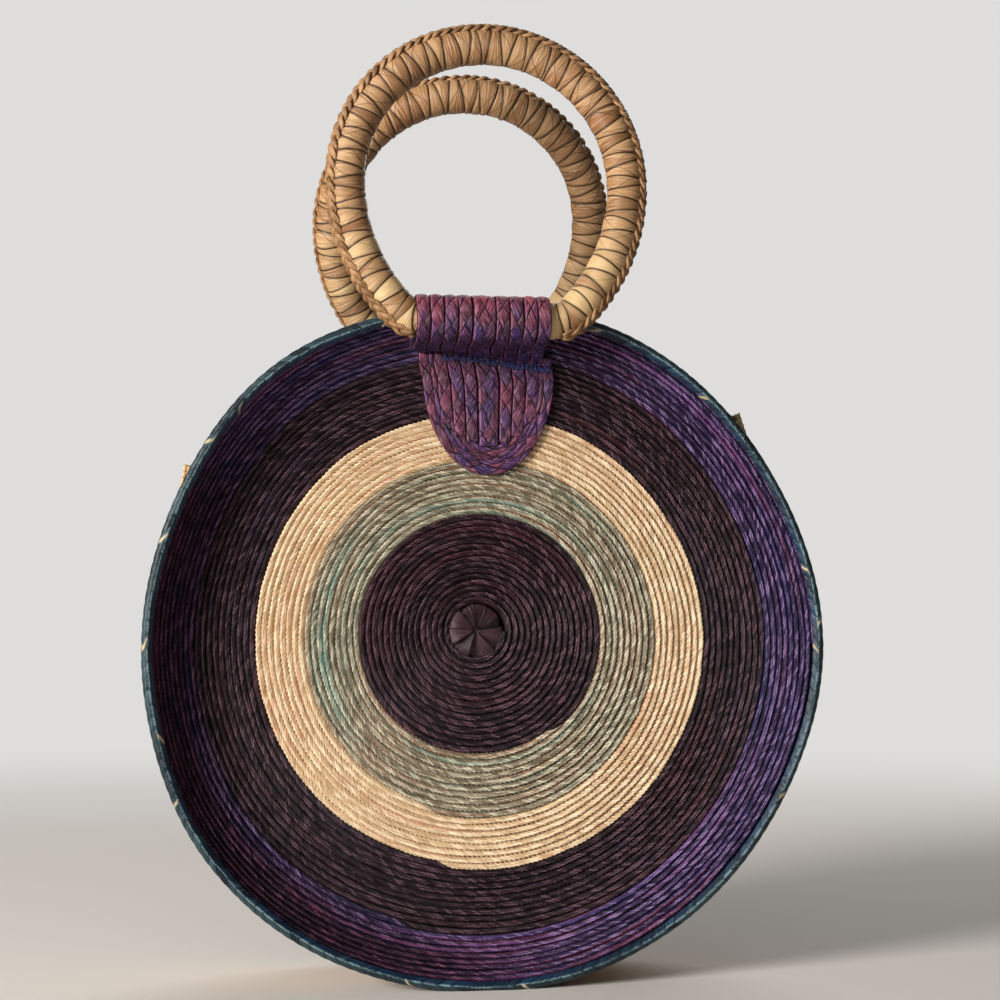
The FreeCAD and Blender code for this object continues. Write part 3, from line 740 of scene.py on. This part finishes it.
def sleevePiece(where):
    # nine plaits side by side carried over the bar; what would reach into the panel stops at its face
    rng = dice(tab["seeds"]["sleeve"], where)
    line, along = sleeveLine()
    way = unit(np.gradient(line, axis=0))
    out = np.stack([-way[:, 1], way[:, 0]], -1)   # away from the bar
    out = out * np.sign(np.sum(out * (line - bar), axis=1).mean())
    shift = np.interp(along, (0, tab["barRadius"] * 2.5), tab["shift"])
    fall = np.clip(1 - along / tab["barRadius"] / 2, 0, 1) ** 0.7
    skin = Skin()
    for number, (left, right) in enumerate(zip(tab["columns"], tab["columns"][1:])):
        width = right - left - plait["gap"]
        across, high, uv, place = plaitGrid(shuffled(along, rng), width, tab["wall"], rng)
        x = (left + right) / 2 + shift[:, None] + across + wander(rng, along, *tab["waver"])[:, None]
        y = line[:, :1] + out[:, :1] * high
        z = line[:, 1:] + out[:, 1:] * high - tab["slope"][0] * (x - tab["slope"][1]) * fall[:, None]
        y = np.minimum(y, panelFace(x, z))
        skin.add(np.stack(np.broadcast_arrays(x, y * sides[where], z), -1), uv, mark=number + place)
    skin.build(f"{where}_tab_sleeve", "plaits", "bag", "palm_wine", finishes["wine"])


def stripsPiece(where):
    # seven straight plaits that end at the innermost of the nested U's, an ellipse
    rng = dice(tab["seeds"]["strips"], where)
    skin = Skin()
    half, deep = tab["half"] - sum(tab["nested"][:2]), tab["round"] - sum(tab["nested"])
    edges = np.array(tab["columns"])[1:-1] * half / tab["columns"][-2]
    top = tongueTop + tab["stripTop"]
    for number, (left, right) in enumerate(zip(edges, edges[1:])):
        middle, width = (left + right) / 2, right - left - plait["gap"]
        end = tongueStraight - deep * math.sqrt(1 - (middle / (half + 1)) ** 2)
        along = np.arange(0, top - end, plait["step"])
        across, high, uv, place = plaitGrid(shuffled(along, rng), width, tab["thick"], rng)
        points = onTongue(middle + across, (top - along)[:, None], tab["low"] + high, sides[where])
        skin.add(points, uv, mark=tab["stripMark"] + number + place)
    skin.build(f"{where}_tab_strips", "plaits", "bag", "palm_wine", finishes["wine"])


def borderPiece(where):
    # nested U's, half ellipses: the outer two run up both sides to the top edge, the inner ones lie at the
    # round end only
    rng = dice(tab["seeds"]["border"], where)
    skin = Skin()
    for number, width in enumerate(tab["nested"]):
        inset = sum(tab["nested"][:number]) + width / 2
        wide, deep = tab["half"] - inset, tab["round"] - inset
        inner = number >= tab["innerFrom"]
        first, last = tab["innerTurn"] if inner else (1.0, 2.0)
        turn = np.linspace(math.pi * first, math.pi * last, 120)
        line = np.stack([wide * np.cos(turn), tongueStraight + deep * np.sin(turn)], -1)
        if not inner:
            rise = np.linspace(tongueTop + tab["borderTop"], tongueStraight, 24)[:-1]
            left = np.stack([np.full_like(rise, -wide), rise], -1)
            line = np.concatenate([left, line, left[::-1] * [-1, 1]])
        line, along = evened(line, plait["step"])
        way = unit(np.gradient(line, axis=0))
        start = shuffled(along * tab["borderStretch"], rng)
        across, high, uv, place = plaitGrid(start, width + tab["borderWider"], tab["thick"], rng)
        x = line[:, :1] - way[:, 1:] * across
        height = line[:, 1:] + way[:, :1] * across
        proud = tab["low"] + high * (tab["innerHigh"] if inner else 1.0)
        skin.add(onTongue(x, height, proud, sides[where]), uv, mark=tab["borderMark"] + number + place)
    skin.build(f"{where}_tab_border", "plaits", "bag", "palm_wine", finishes["wine"])


stitching = {
    "count": 54, "first": -22.3, "step": 1.08,
    "over": 3.0, "fall": 0.13,   # height over the tongue's top, and its fall to the right
    "aside": 0.8, "slant": 3.2, "above": (0.2, 2.6), "under": (0.2, 3.0),   # how much stitches differ
    "low": 4.7, "bow": 1.3, "thick": 0.36, "seed": 151,
    "dark": tint(28, 34, 82), "light": tint(78, 90, 150),
}


def stitchingPiece(where):
    # loose cross stitches of thick thread along the crease under the sleeve, each bowed as half a sine
    rng = dice(stitching["seed"], where)
    skin = Skin()
    bow = np.linspace(0, 1, 7)
    up = np.array([[0.0, -float(sides[where]), 0.0]])
    proud = stitching["low"] + stitching["bow"] * np.sin(np.pi * bow)
    for number in range(stitching["count"]):
        along = number * stitching["step"] + rng.uniform(-stitching["aside"], stitching["aside"])
        slant = rng.uniform(-stitching["slant"], stitching["slant"])
        middle = tongueTop + stitching["over"] - stitching["fall"] * along
        top = middle + rng.uniform(*stitching["above"])
        low = middle - rng.uniform(*stitching["under"])
        x = stitching["first"] + along + slant * (bow - 0.5)
        path = onTongue(x, top + (low - top) * bow, proud, sides[where])
        thread = rope(path, up, stitching["thick"], stitching["thick"])
        skin.add(thread, plainUv(bow * 3 + number * 5, np.linspace(0, 1, 7)))
    skin.build(f"{where}_tab_stitching", "thread", "bag", "thread_blue", finishes["blue"])


def weaveCells(a, b):
    # the strand on top in each cell of two crossing families: its number, place across it, place along it
    top = ((a.floor() + b.floor()) * 0.5).part() < 0.25
    under = 1 - top
    number = top * a.floor() + under * (b.floor() + 300)
    return number, top * a.part() + under * b.part(), top * b.part() + under * a.part()


tabDyes = {
    "wine": (tint(56, 24, 46), tint(118, 52, 76)), "violet": tint(66, 36, 84), "blue": tint(36, 30, 78),
    # red dye with painted light over the top of the roll; navy and ink dye with painted shade beneath it
    "red": tint(150, 68, 76), "redDyeAndLightFrom": (0.336, 0.352),   # heights in metres
    "navyDyeAndShade": (tint(8, 6, 40), tint(52, 38, 112)), "inkDyeAndShade": tint(10, 7, 60), "navyDyeAndShadeTo": (0.326, 0.341),
    # dark and pale fibres, the painted highlight along plait edges, and the painted shade in gaps
    "dark": tint(28, 11, 28), "pale": tint(184, 128, 158), "ribHighlight": tint(160, 98, 122), "gap": tint(14, 7, 17),
}


def tabPaint(start):
    # wine and purple leaf, red dye and painted light over the top of the roll, navy dye and painted shade
    # under it; fibres, a painted highlight along both edges of a plait and painted shade in the gaps between
    # strands and plaits
    first, second = leafCoordinates(start)
    mark = start.node("Attribute", out=2, attribute_name="mark")
    ribbon, across = mark.floor(), abs(mark.part() - 0.5)
    number, inside, reach = weaveCells(first + ribbon * 7, second + ribbon * 3)
    tone, other = chance(start, number), chance(start, number, 0.41)
    fibre = cloud(start, inside + number * 3, reach, 11.0, 1.6, 4.0)
    high = spot(start, 2)
    colour = tone.mix(*tabDyes["wine"])
    colour = other.ramp(0.62, 0.72).mix(colour, tabDyes["violet"])
    colour = ((1 - other.ramp(0.10, 0.16)) * 0.85).mix(colour, tabDyes["blue"])
    # red dye and painted light over the top of the roll
    colour = (high.ramp(*tabDyes["redDyeAndLightFrom"]) * (0.35 + tone * 0.6)).mix(colour, tabDyes["red"])
    onSleeve = ribbon < float(tab["stripMark"])
    # navy dye and painted shade under the roll
    low = onSleeve * (1 - high.ramp(*tabDyes["navyDyeAndShadeTo"]))
    colour = (low * 0.90).mix(colour, tone.mix(*tabDyes["navyDyeAndShade"]))
    colour = ((0.48 - fibre) * 4.4).mix(colour, tabDyes["dark"])
    colour = ((fibre - 0.54) * 3.6).mix(colour, tabDyes["pale"])
    # more blue ink dye and painted shade underneath
    colour = (low * 0.25).mix(colour, tabDyes["inkDyeAndShade"])
    # painted highlight along both edges of a plait
    ribHighlight = across.ramp(0.34, 0.40) * (1 - across.ramp(0.42, 0.46))
    colour = (ribHighlight * 0.45).mix(colour, tabDyes["ribHighlight"])
    # painted shade in the gaps between strands and plaits
    shade = edged(inside, 0.09) * edged(reach, 0.05) * (1 - across.ramp(0.41, 0.49) * 0.97)
    relief = shade * 0.5 + fibre * 0.7
    return shade.mix(tabDyes["gap"], colour), 0.46 + (fibre - 0.5) * 0.3, relief, 0.0009


def threadPaint(dark, light):
    # two shades of twisted yarn, noise drawn out on a slant
    def paint(start):
        along, across = leafCoordinates(start)
        twist = cloud(start, along + across, across, 6.0, 2.0)
        return twist.ramp(0.3, 0.7).mix(dark, light), 0.75, twist, 0.0002
    return paint


finishes["wine"] = finishOf("palm wine", tabPaint)
finishes["blue"] = finishOf("thread blue", threadPaint(stitching["dark"], stitching["light"]))
for where in sides:
    sleevePiece(where)
    stripsPiece(where)
    borderPiece(where)
    stitchingPiece(where)
print("tabs:", len(tab["columns"]) - 1, "plaits and", stitching["count"], "stitches each")


# Handles: leaf wound round a cane ring with a straight bottom bar

offset, drop = handle["bar"] - handle["radius"], handle["height"] - handle["corner"]
sideRadius = (handle["corner"] ** 2 - offset ** 2 - drop ** 2) / (2 * (offset + handle["corner"]))
sideX = handle["radius"] - sideRadius
sideTurn = math.atan2(drop, handle["bar"] - sideX)
cornerTurn = math.pi / 2 - sideTurn
# middle (x, z), radius, first angle and turn of the five bends from the bar's right end round to its left
# end; the last line stands for the straight bar
bends = np.array([
    (handle["bar"], handle["corner"], handle["corner"], -math.pi / 2, cornerTurn),
    (sideX, handle["height"], sideRadius, -sideTurn, sideTurn),
    (0.0, handle["height"], handle["radius"], 0.0, math.pi),
    (-sideX, handle["height"], sideRadius, math.pi, sideTurn),
    (-handle["bar"], handle["corner"], handle["corner"], math.pi + sideTurn, cornerTurn),
    (0.0, 0.0, 1.0, 0.0, 0.0),
])
bendStarts = np.append(0, np.cumsum(bends[:5, 2] * bends[:5, 4]))
handleLength = bendStarts[-1] + 2 * handle["bar"]


def onHandle(t, phi, reach, where):
    # t along the ring, phi round the tube from its outer side to its front, reach from its middle line
    part = np.clip(np.searchsorted(bendStarts, t, side="right") - 1, 0, 5)
    x0, z0, radius, first, _ = np.moveaxis(bends[part], -1, 0)
    angle = first + (t - bendStarts[part]) / radius
    straight = part == 5
    outX = np.where(straight, 0.0, np.cos(angle))
    outZ = np.where(straight, -1.0, np.sin(angle))
    x = np.where(straight, t - bendStarts[5] - handle["bar"], x0 + radius * outX)
    x = x + outX * reach * np.cos(phi) + handle["slid"][where]
    up = np.where(straight, 0.0, z0 + radius * outZ) + outZ * reach * np.cos(phi)
    forth = -reach * np.sin(phi)
    lean = math.radians(handle["lean"][where])
    y = handle["barY"] + forth * math.cos(lean) + up * math.sin(lean)
    z = handle["barZ"] + up * math.cos(lean) - forth * math.sin(lean)
    return np.stack([x, y * sides[where], z], -1)


wrap = {
    "pitch": 5.9, "zig": 0.31, "depth": 0.75, "sink": 0.55, "round": 0.4, "steps": (1000, 48),
    "uneven": (0.11, 0.13, 0.15),   # how much turns differ in place, slant and height
    "straw": (tint(132, 92, 58), tint(186, 144, 101)), "brown": tint(158, 104, 68),
    "fold": tint(192, 153, 110), "pale": tint(226, 195, 152), "dark": tint(98, 64, 38),
    # colours of the painted shade in creases and between turns
    "crease": tint(74, 46, 26), "gap": tint(36, 21, 11),
    "fresh": tint(214, 184, 134), "freshTo": (0.355, 0.41),   # paler leaf low on the ring, heights in metres
    "foldSway": 0.38, "crossSway": 0.45, "seed": 161,
}


def wrapPiece(where):
    # turns of leaf whose edges zigzag round the tube; every turn is a pillow between two dips
    rng = dice(wrap["seed"], where)
    turns = 2 * round(handleLength / wrap["pitch"] / 2)
    number = np.arange(-2, turns + 3)
    shift, slew, lift = (rng.normal(0, size, turns)[number % turns] for size in wrap["uneven"])
    share, phi = np.linspace(0, 1, wrap["steps"][0] + 1), np.linspace(0, tau, wrap["steps"][1] + 1)
    zig = wrap["zig"] * (-1.0) ** number
    edge = (number + shift)[:, None] + zig[:, None] * np.cos(phi) + slew[:, None] * np.sin(phi)
    phase = np.stack([np.interp(share * turns, edge[:, j], number) for j in range(len(phi))], 1)
    pillow = (4 * (phase % 1) * (1 - phase % 1)) ** wrap["round"]
    raised = lift[np.floor(phase).astype(int) + 2] * pillow
    reach = handle["wrap"] - wrap["sink"] + wrap["depth"] * pillow + raised
    points = onHandle(share[:, None] * handleLength, phi[None], reach, where)[:-1, :-1]
    uv = np.stack([phase, np.broadcast_to(phi / tau, phase.shape)], -1)
    skin = Skin().add(points, uv, wrapU=True)
    skin.build(f"{where}_handle_wrap", "leaf", f"{where}_handle", "handle_palm", finishes["straw"])


def wrapPaint(start):
    # every turn its own shade of straw, a folded half lighter than the other, painted shade along creases on
    # sine lines and painted shade between turns
    along, across = leafCoordinates(start)
    number, inside = along.floor(), along.part()
    tone, other = chance(start, number), chance(start, number, 0.29)
    crease = inside - 0.5 - (across + other).wave() * wrap["foldSway"]
    fibre = cloud(start, inside * 2 + number * 7, across, 6.0, 3.0, 3.0)
    colour = tone.mix(*wrap["straw"])
    colour = ((patches(start, 16.0) - 0.47) * 3.0).mix(colour, wrap["brown"])
    colour = (crease.ramp(-0.02, 0.02) * 0.5).mix(colour, wrap["fold"])
    colour = ((fibre - 0.53) * 2.2).mix(colour, wrap["pale"])
    colour = ((0.46 - fibre) * 2.4).mix(colour, wrap["dark"])
    # painted shade along each turn's crease
    colour = ((1 - abs(crease).ramp(0.0, 0.035)) * 0.7).mix(colour, wrap["crease"])
    # painted shade along a second crease on most turns
    cross = inside - 0.5 + (across * 2 + tone).wave() * wrap["crossSway"]
    colour = ((1 - abs(cross).ramp(0.0, 0.06)) * (other > 0.35) * 0.8).mix(colour, wrap["crease"])
    colour = ((1 - spot(start, 2).ramp(*wrap["freshTo"])) * tone * 0.8).mix(colour, wrap["fresh"])
    # painted shade in the gaps between turns
    shade = edged(inside, 0.15)
    return shade.mix(wrap["gap"], colour), 0.42 + (fibre - 0.5) * 0.3, fibre, 0.0005


ridge = {
    "reach": 9.8, "wave": 14.5, "sway": 2.7, "rise": 0.9, "wide": 1.8, "thick": 1.0, "strands": 3,
    "around": 8,
    "trim": 2.3, "step": 0.9, "phi": 0.35, "waver": (60.0, 0.3), "uvLength": 7.0, "seed": 171,
    "leaf": (tint(104, 70, 42), tint(168, 128, 88)), "pale": tint(204, 168, 124),
}


def ridgePiece(where):
    # flat strands that sway over one another along the ring's outer side: a sine aside, one twice as fast up
    rng = dice(ridge["seed"], where)
    skin = Skin()
    t = np.arange(ridge["trim"], bendStarts[5] - ridge["trim"], ridge["step"])
    for strand in range(ridge["strands"]):
        turn = tau * (t / ridge["wave"] + strand / ridge["strands"]) + wander(rng, t, *ridge["waver"])
        high = ridge["reach"] + ridge["rise"] * np.sin(2 * turn)
        phi = ridge["phi"] + ridge["sway"] * np.sin(turn) / high
        path = onHandle(t, phi, high, where)
        up = path - onHandle(t, phi, high - 1.0, where)
        uv = plainUv(t / ridge["uvLength"], np.linspace(0, 1, ridge["around"] + 1) + strand * 3)
        skin.add(rope(path, up, ridge["wide"], ridge["thick"], ridge["around"]), uv)
    skin.build(f"{where}_handle_ridge", "plait", f"{where}_handle", "handle_palm", finishes["ridge"])


def ridgePaint(start):
    # each stretch of a strand its own shade of brown, with paler fibres
    along, across = leafCoordinates(start)
    fibre = cloud(start, across * 4, along, 3.0, 1.5, 3.0)
    colour = chance(start, along.floor() + across.floor() * 31).mix(*ridge["leaf"])
    return ((fibre - 0.5) * 1.6).mix(colour, ridge["pale"]), 0.45, fibre, 0.0004


cane = {"steps": (240, 16), "uvLength": 10.0, "dark": tint(150, 112, 70), "light": tint(190, 152, 104)}


def corePiece(where):
    # a plain round cane along the ring's middle line, under the wrap
    t, phi = np.linspace(0, handleLength, cane["steps"][0] + 1), np.linspace(0, tau, cane["steps"][1] + 1)
    points = onHandle(t[:, None], phi[None], handle["core"], where)[:-1, :-1]
    uv = plainUv(t / cane["uvLength"], phi / tau)
    skin = Skin().add(points, uv, wrapU=True)
    skin.build(f"{where}_handle_core", "cane", f"{where}_handle", "cane_core", finishes["cane"])


def canePaint(start):
    # fine specks between two shades
    grain = patches(start, 220.0)
    return grain.mix(cane["dark"], cane["light"]), 0.6, grain, 0.0003


finishes["straw"] = finishOf("leaf wrap", wrapPaint)
finishes["ridge"] = finishOf("leaf ridge", ridgePaint)
finishes["cane"] = finishOf("cane", canePaint)
for where in sides:
    wrapPiece(where)
    ridgePiece(where)
    corePiece(where)
print(f"handles: {handleLength:.0f} mm round each ring")


# Side band: plait rows sewn edge to edge between the two rims, with two free ends

band = {
    "radius": 172.0, "thick": 2.5, "rows": 20, "left": 149.0, "right": 43.0, "free": 45.0,
    "flare": (2.5, 7.2), "flarePower": (2.0, 1.1),   # how far the left and the right free end stand off
    "step": 1.7, "strand": 3.4, "gap": 0.3, "edge": 0.5,
    "across": (-0.5, -0.28, 0.0, 0.28, 0.5, 0.57, 0.0, -0.57),
    "dome": (-0.55, -0.1, 0.0, -0.1, -0.55, 0.0, 0.0, 0.0),
    "inner": (0, 0, 0, 0, 0, 1, 1, 1),   # 1 on the inside of the band, where rows overlap
    "topPoints": 5, "behind": (1.4, 1.7, 2.0, 2.3),
    "dip": -0.18, "crest": 0.1, "uneven": 0.05, "waver": (80.0, 0.15), "seed": 181,
    "fold": 20.0, "foldMargin": 5.0, "foldRows": 16, "foldLow": 0.1, "foldHigh": 2.0,
}
bandFree = math.atan2(band["free"], band["radius"])
bandFirst = math.radians(band["left"]) + bandFree
bandTotal = tau + math.radians(band["right"]) - bandFree - bandFirst
bandLength = bandTotal * band["radius"] + 2 * band["free"]


def bandEdge(radius, gap):
    # Y of a point at this radius, the given gap behind the back of the front binding
    foot = onPanel(np.array(edgeLength), -nose - gap, np.array(0.0), 1, centred)
    return foot[1] + (foot[0] - radius) * math.tan(slope)


def onBand(t, y, high):
    # t along the band from its left tip, high over its outside; round between two straight ends, which flare
    arc = np.clip(t - band["free"], 0, bandTotal * band["radius"])
    angle = bandFirst + arc / band["radius"]
    past = t - band["free"] - arc   # below 0 on the left free end, above 0 on the right one
    end = np.where(past < 0, 0, 1)
    flare = np.array(band["flare"])[end] * abs(past / band["free"]) ** np.array(band["flarePower"])[end]
    reach = band["radius"] + high + flare + bulge(angle)
    x = reach * np.cos(angle) - past * np.sin(angle)
    z = middleZ + reach * np.sin(angle) + past * np.cos(angle)
    return np.stack(np.broadcast_arrays(x, y, z), -1)


def bandRows(skin, rng, first, last, rows, halfOut, halfIn, low, high, number=0):
    # rows of plait side by side: a domed section (across, height) along the band, strands as low pillows
    t = np.arange(first, last, band["step"])
    across, dome, inner = (np.array(band[k]) for k in ("across", "dome", "inner"))
    acrossUv = np.append(across[: band["topPoints"]] + 0.5, band["behind"])
    for row in range(rows):
        place = -1 + (2 * row + 1) / rows + across * 2 / rows
        strand = np.where(np.arange(len(t)) % 2 == row % 2, band["dip"], band["crest"])
        y = place * np.where(inner, halfIn, halfOut) + wander(rng, t, *band["waver"])[:, None]
        pillow = strand[:, None] + rng.normal(0, band["uneven"], (len(t), 1))
        height = np.where(inner, low, high + dome) + pillow * (1 - inner)
        uv = plainUv(t / band["strand"] + (row + number) * 321, acrossUv)
        skin.add(onBand(t[:, None], y, height), uv)


halfOut = -bandEdge(band["radius"] - band["edge"], band["gap"])
halfIn = -bandEdge(band["radius"] - band["thick"], band["gap"])
foldHalf = halfOut - band["foldMargin"]
rng = np.random.default_rng(band["seed"])
skin = Skin()
bandRows(skin, rng, 0.0, bandLength, band["rows"], halfOut, halfIn, -band["thick"], 0.0)
skin.build("gusset_band", "plait", "bag", "palm_side", finishes["side"])
skin = Skin()
for first, number in ((0.0, 40), (bandLength - band["fold"], 60)):
    bandRows(skin, rng, first, first + band["fold"], band["foldRows"], foldHalf, foldHalf,
             band["foldLow"], band["foldHigh"], number)
skin.build("gusset_end_folds", "plait", "bag", "palm_side", finishes["side"])

seam = {
    "radius": 0.95, "stitch": 5.2, "trim": 2.0, "long": 1.9, "slant": 0.7, "jitter": 0.3,
    "rise": 0.3, "bow": 0.5, "thick": 0.6, "around": 5, "seed": 191,
    "dark": tint(150, 120, 84), "light": tint(206, 180, 136),
}


def seamPiece(where):
    # whipped thread: short slanted stitches, bowed as a parabola, over the corner between band and binding
    rng = dice(seam["seed"], where)
    skin = Skin()
    radius, side = seam["radius"], sides[where]
    y = bandEdge(band["radius"] + radius, radius)
    bow = np.linspace(-1, 1, 5)
    high = radius + seam["rise"] - seam["bow"] * bow ** 2
    trim = band["free"] + seam["trim"]
    for t in np.arange(trim, bandLength - trim, seam["stitch"]):
        place = t + bow * seam["long"] + rng.uniform(-seam["jitter"], seam["jitter"])
        path = onBand(place, (y + bow * seam["slant"]) * side, high)
        up = path - onBand(place, y * side, radius - 3)
        thread = rope(path, up, seam["thick"], seam["thick"], seam["around"])
        skin.add(thread, plainUv(bow + t, np.linspace(0, 1, seam["around"] + 1)))
    skin.build(f"gusset_{where}_seam", "thread", "bag", "thread_natural", finishes["thread"])


finishes["thread"] = finishOf("thread natural", threadPaint(seam["dark"], seam["light"]))
for where in sides:
    seamPiece(where)
print(f"side band: {band['rows']} rows, {bandLength:.0f} mm long")


# Camera, floor and light

view = {
    "azimuth": -8.2, "elevation": -2.0, "distance": 1.018, "target": (0.0, -0.022, 0.240), "sensor": 36.0,
    "picture": 1000, "focal": 1933.0, "centre": (485.1, 522.2),   # pixels
}
turn, tilt = math.radians(view["azimuth"]), math.radians(view["elevation"])
back = np.array([math.sin(turn) * math.cos(tilt), -math.cos(turn) * math.cos(tilt), math.sin(tilt)])
lens = bpy.data.cameras.new("camera")
lens.sensor_width = view["sensor"]
lens.lens = view["sensor"] * view["focal"] / view["picture"]
lens.shift_x = 0.5 - view["centre"][0] / view["picture"]
lens.shift_y = view["centre"][1] / view["picture"] - 0.5
camera = bpy.data.objects.new("camera", lens)
camera.location = np.array(view["target"]) + back * view["distance"]
camera.rotation_euler = (math.radians(90) - tilt, 0, turn)
bpy.context.scene.collection.objects.link(camera)
bpy.context.scene.camera = camera

white = (1.0, 1.0, 1.0)
lights = {   # place, aim, width in metres, watts, colour
    "window": ((-1.75, -1.20, 0.72), (0, 0, 0.22), 0.75, 76.0, (1.0, 0.98, 0.95)),
    "fill": ((-0.6, -2.0, 1.3), (0, 0, 0.2), 1.6, 4.0, white),
    "back": ((0.6, 1.8, 1.4), (0, 0, 0.2), 1.6, 24.0, white),
}


def areaLight(name, place, aim, size, power, colour):
    # a round lamp turned from straight down to its aim by the way's slope and heading
    lamp = bpy.data.lights.new(name, "AREA")
    lamp.shape = "DISK"
    lamp.size = size
    lamp.energy = power
    lamp.color = colour
    made = bpy.data.objects.new(name, lamp)
    made.location = place
    way = np.array(aim) - np.array(place)
    made.rotation_euler = (math.atan2(math.hypot(way[0], way[1]), -way[2]), 0, math.atan2(-way[0], way[1]))
    bpy.context.scene.collection.objects.link(made)


for name, light in lights.items():
    areaLight(name, *light)

stage = {
    "floor": tint(214, 209, 203), "backdrop": tint(222, 221, 219), "world": 0.10,
    "reach": 60.0, "corners": 64,
    "fade": (0.5, 1.6),   # metres from the bag over which the floor takes the backdrop's colour
}
ring = np.linspace(0, tau, stage["corners"] + 1)[:-1]
disc = stage["reach"] * np.stack([np.cos(ring), np.sin(ring), 0 * ring], -1)
floorMesh = bpy.data.meshes.new("floor")
floorMesh.from_pydata(disc.tolist(), [], [range(stage["corners"])])
floor = bpy.data.objects.new("floor", floorMesh)
bpy.context.scene.collection.objects.link(floor)

# the floor keeps the shadow near the bag and far off is as pale as the backdrop
ground = bpy.data.materials.new("floor")
ground.use_nodes = True
ground.node_tree.nodes.clear()
start = Wire(ground.node_tree)
away = start.node("VectorMath", {0: start.node("TexCoord", out=3)}, out=1, operation="LENGTH")
far = away.ramp(*stage["fade"]) * start.node("LightPath", out=0)
matt = start.node("BsdfDiffuse", {"Color": stage["floor"]})
glow = start.node("Emission", {"Color": stage["backdrop"], "Strength": 1.0})
start.node("OutputMaterial", {0: start.node("MixShader", {0: far, 1: matt, 2: glow})})
floorMesh.materials.append(ground)

# the camera sees the backdrop, and the bag is lit by a weak white room
world = bpy.data.worlds.new("room")
bpy.context.scene.world = world
world.use_nodes = True
world.node_tree.nodes.clear()
air = Wire(world.node_tree)
lit = air.node("Background", {0: (*white, 1.0), 1: stage["world"]})
shown = air.node("Background", {0: stage["backdrop"], 1: 1.0})
air.node("OutputWorld", {0: air.node("MixShader", {0: air.node("LightPath", out=0), 1: lit, 2: shown})})
bpy.context.scene.view_settings.view_transform = "Standard"
print("camera, floor and", len(lights), "lights")
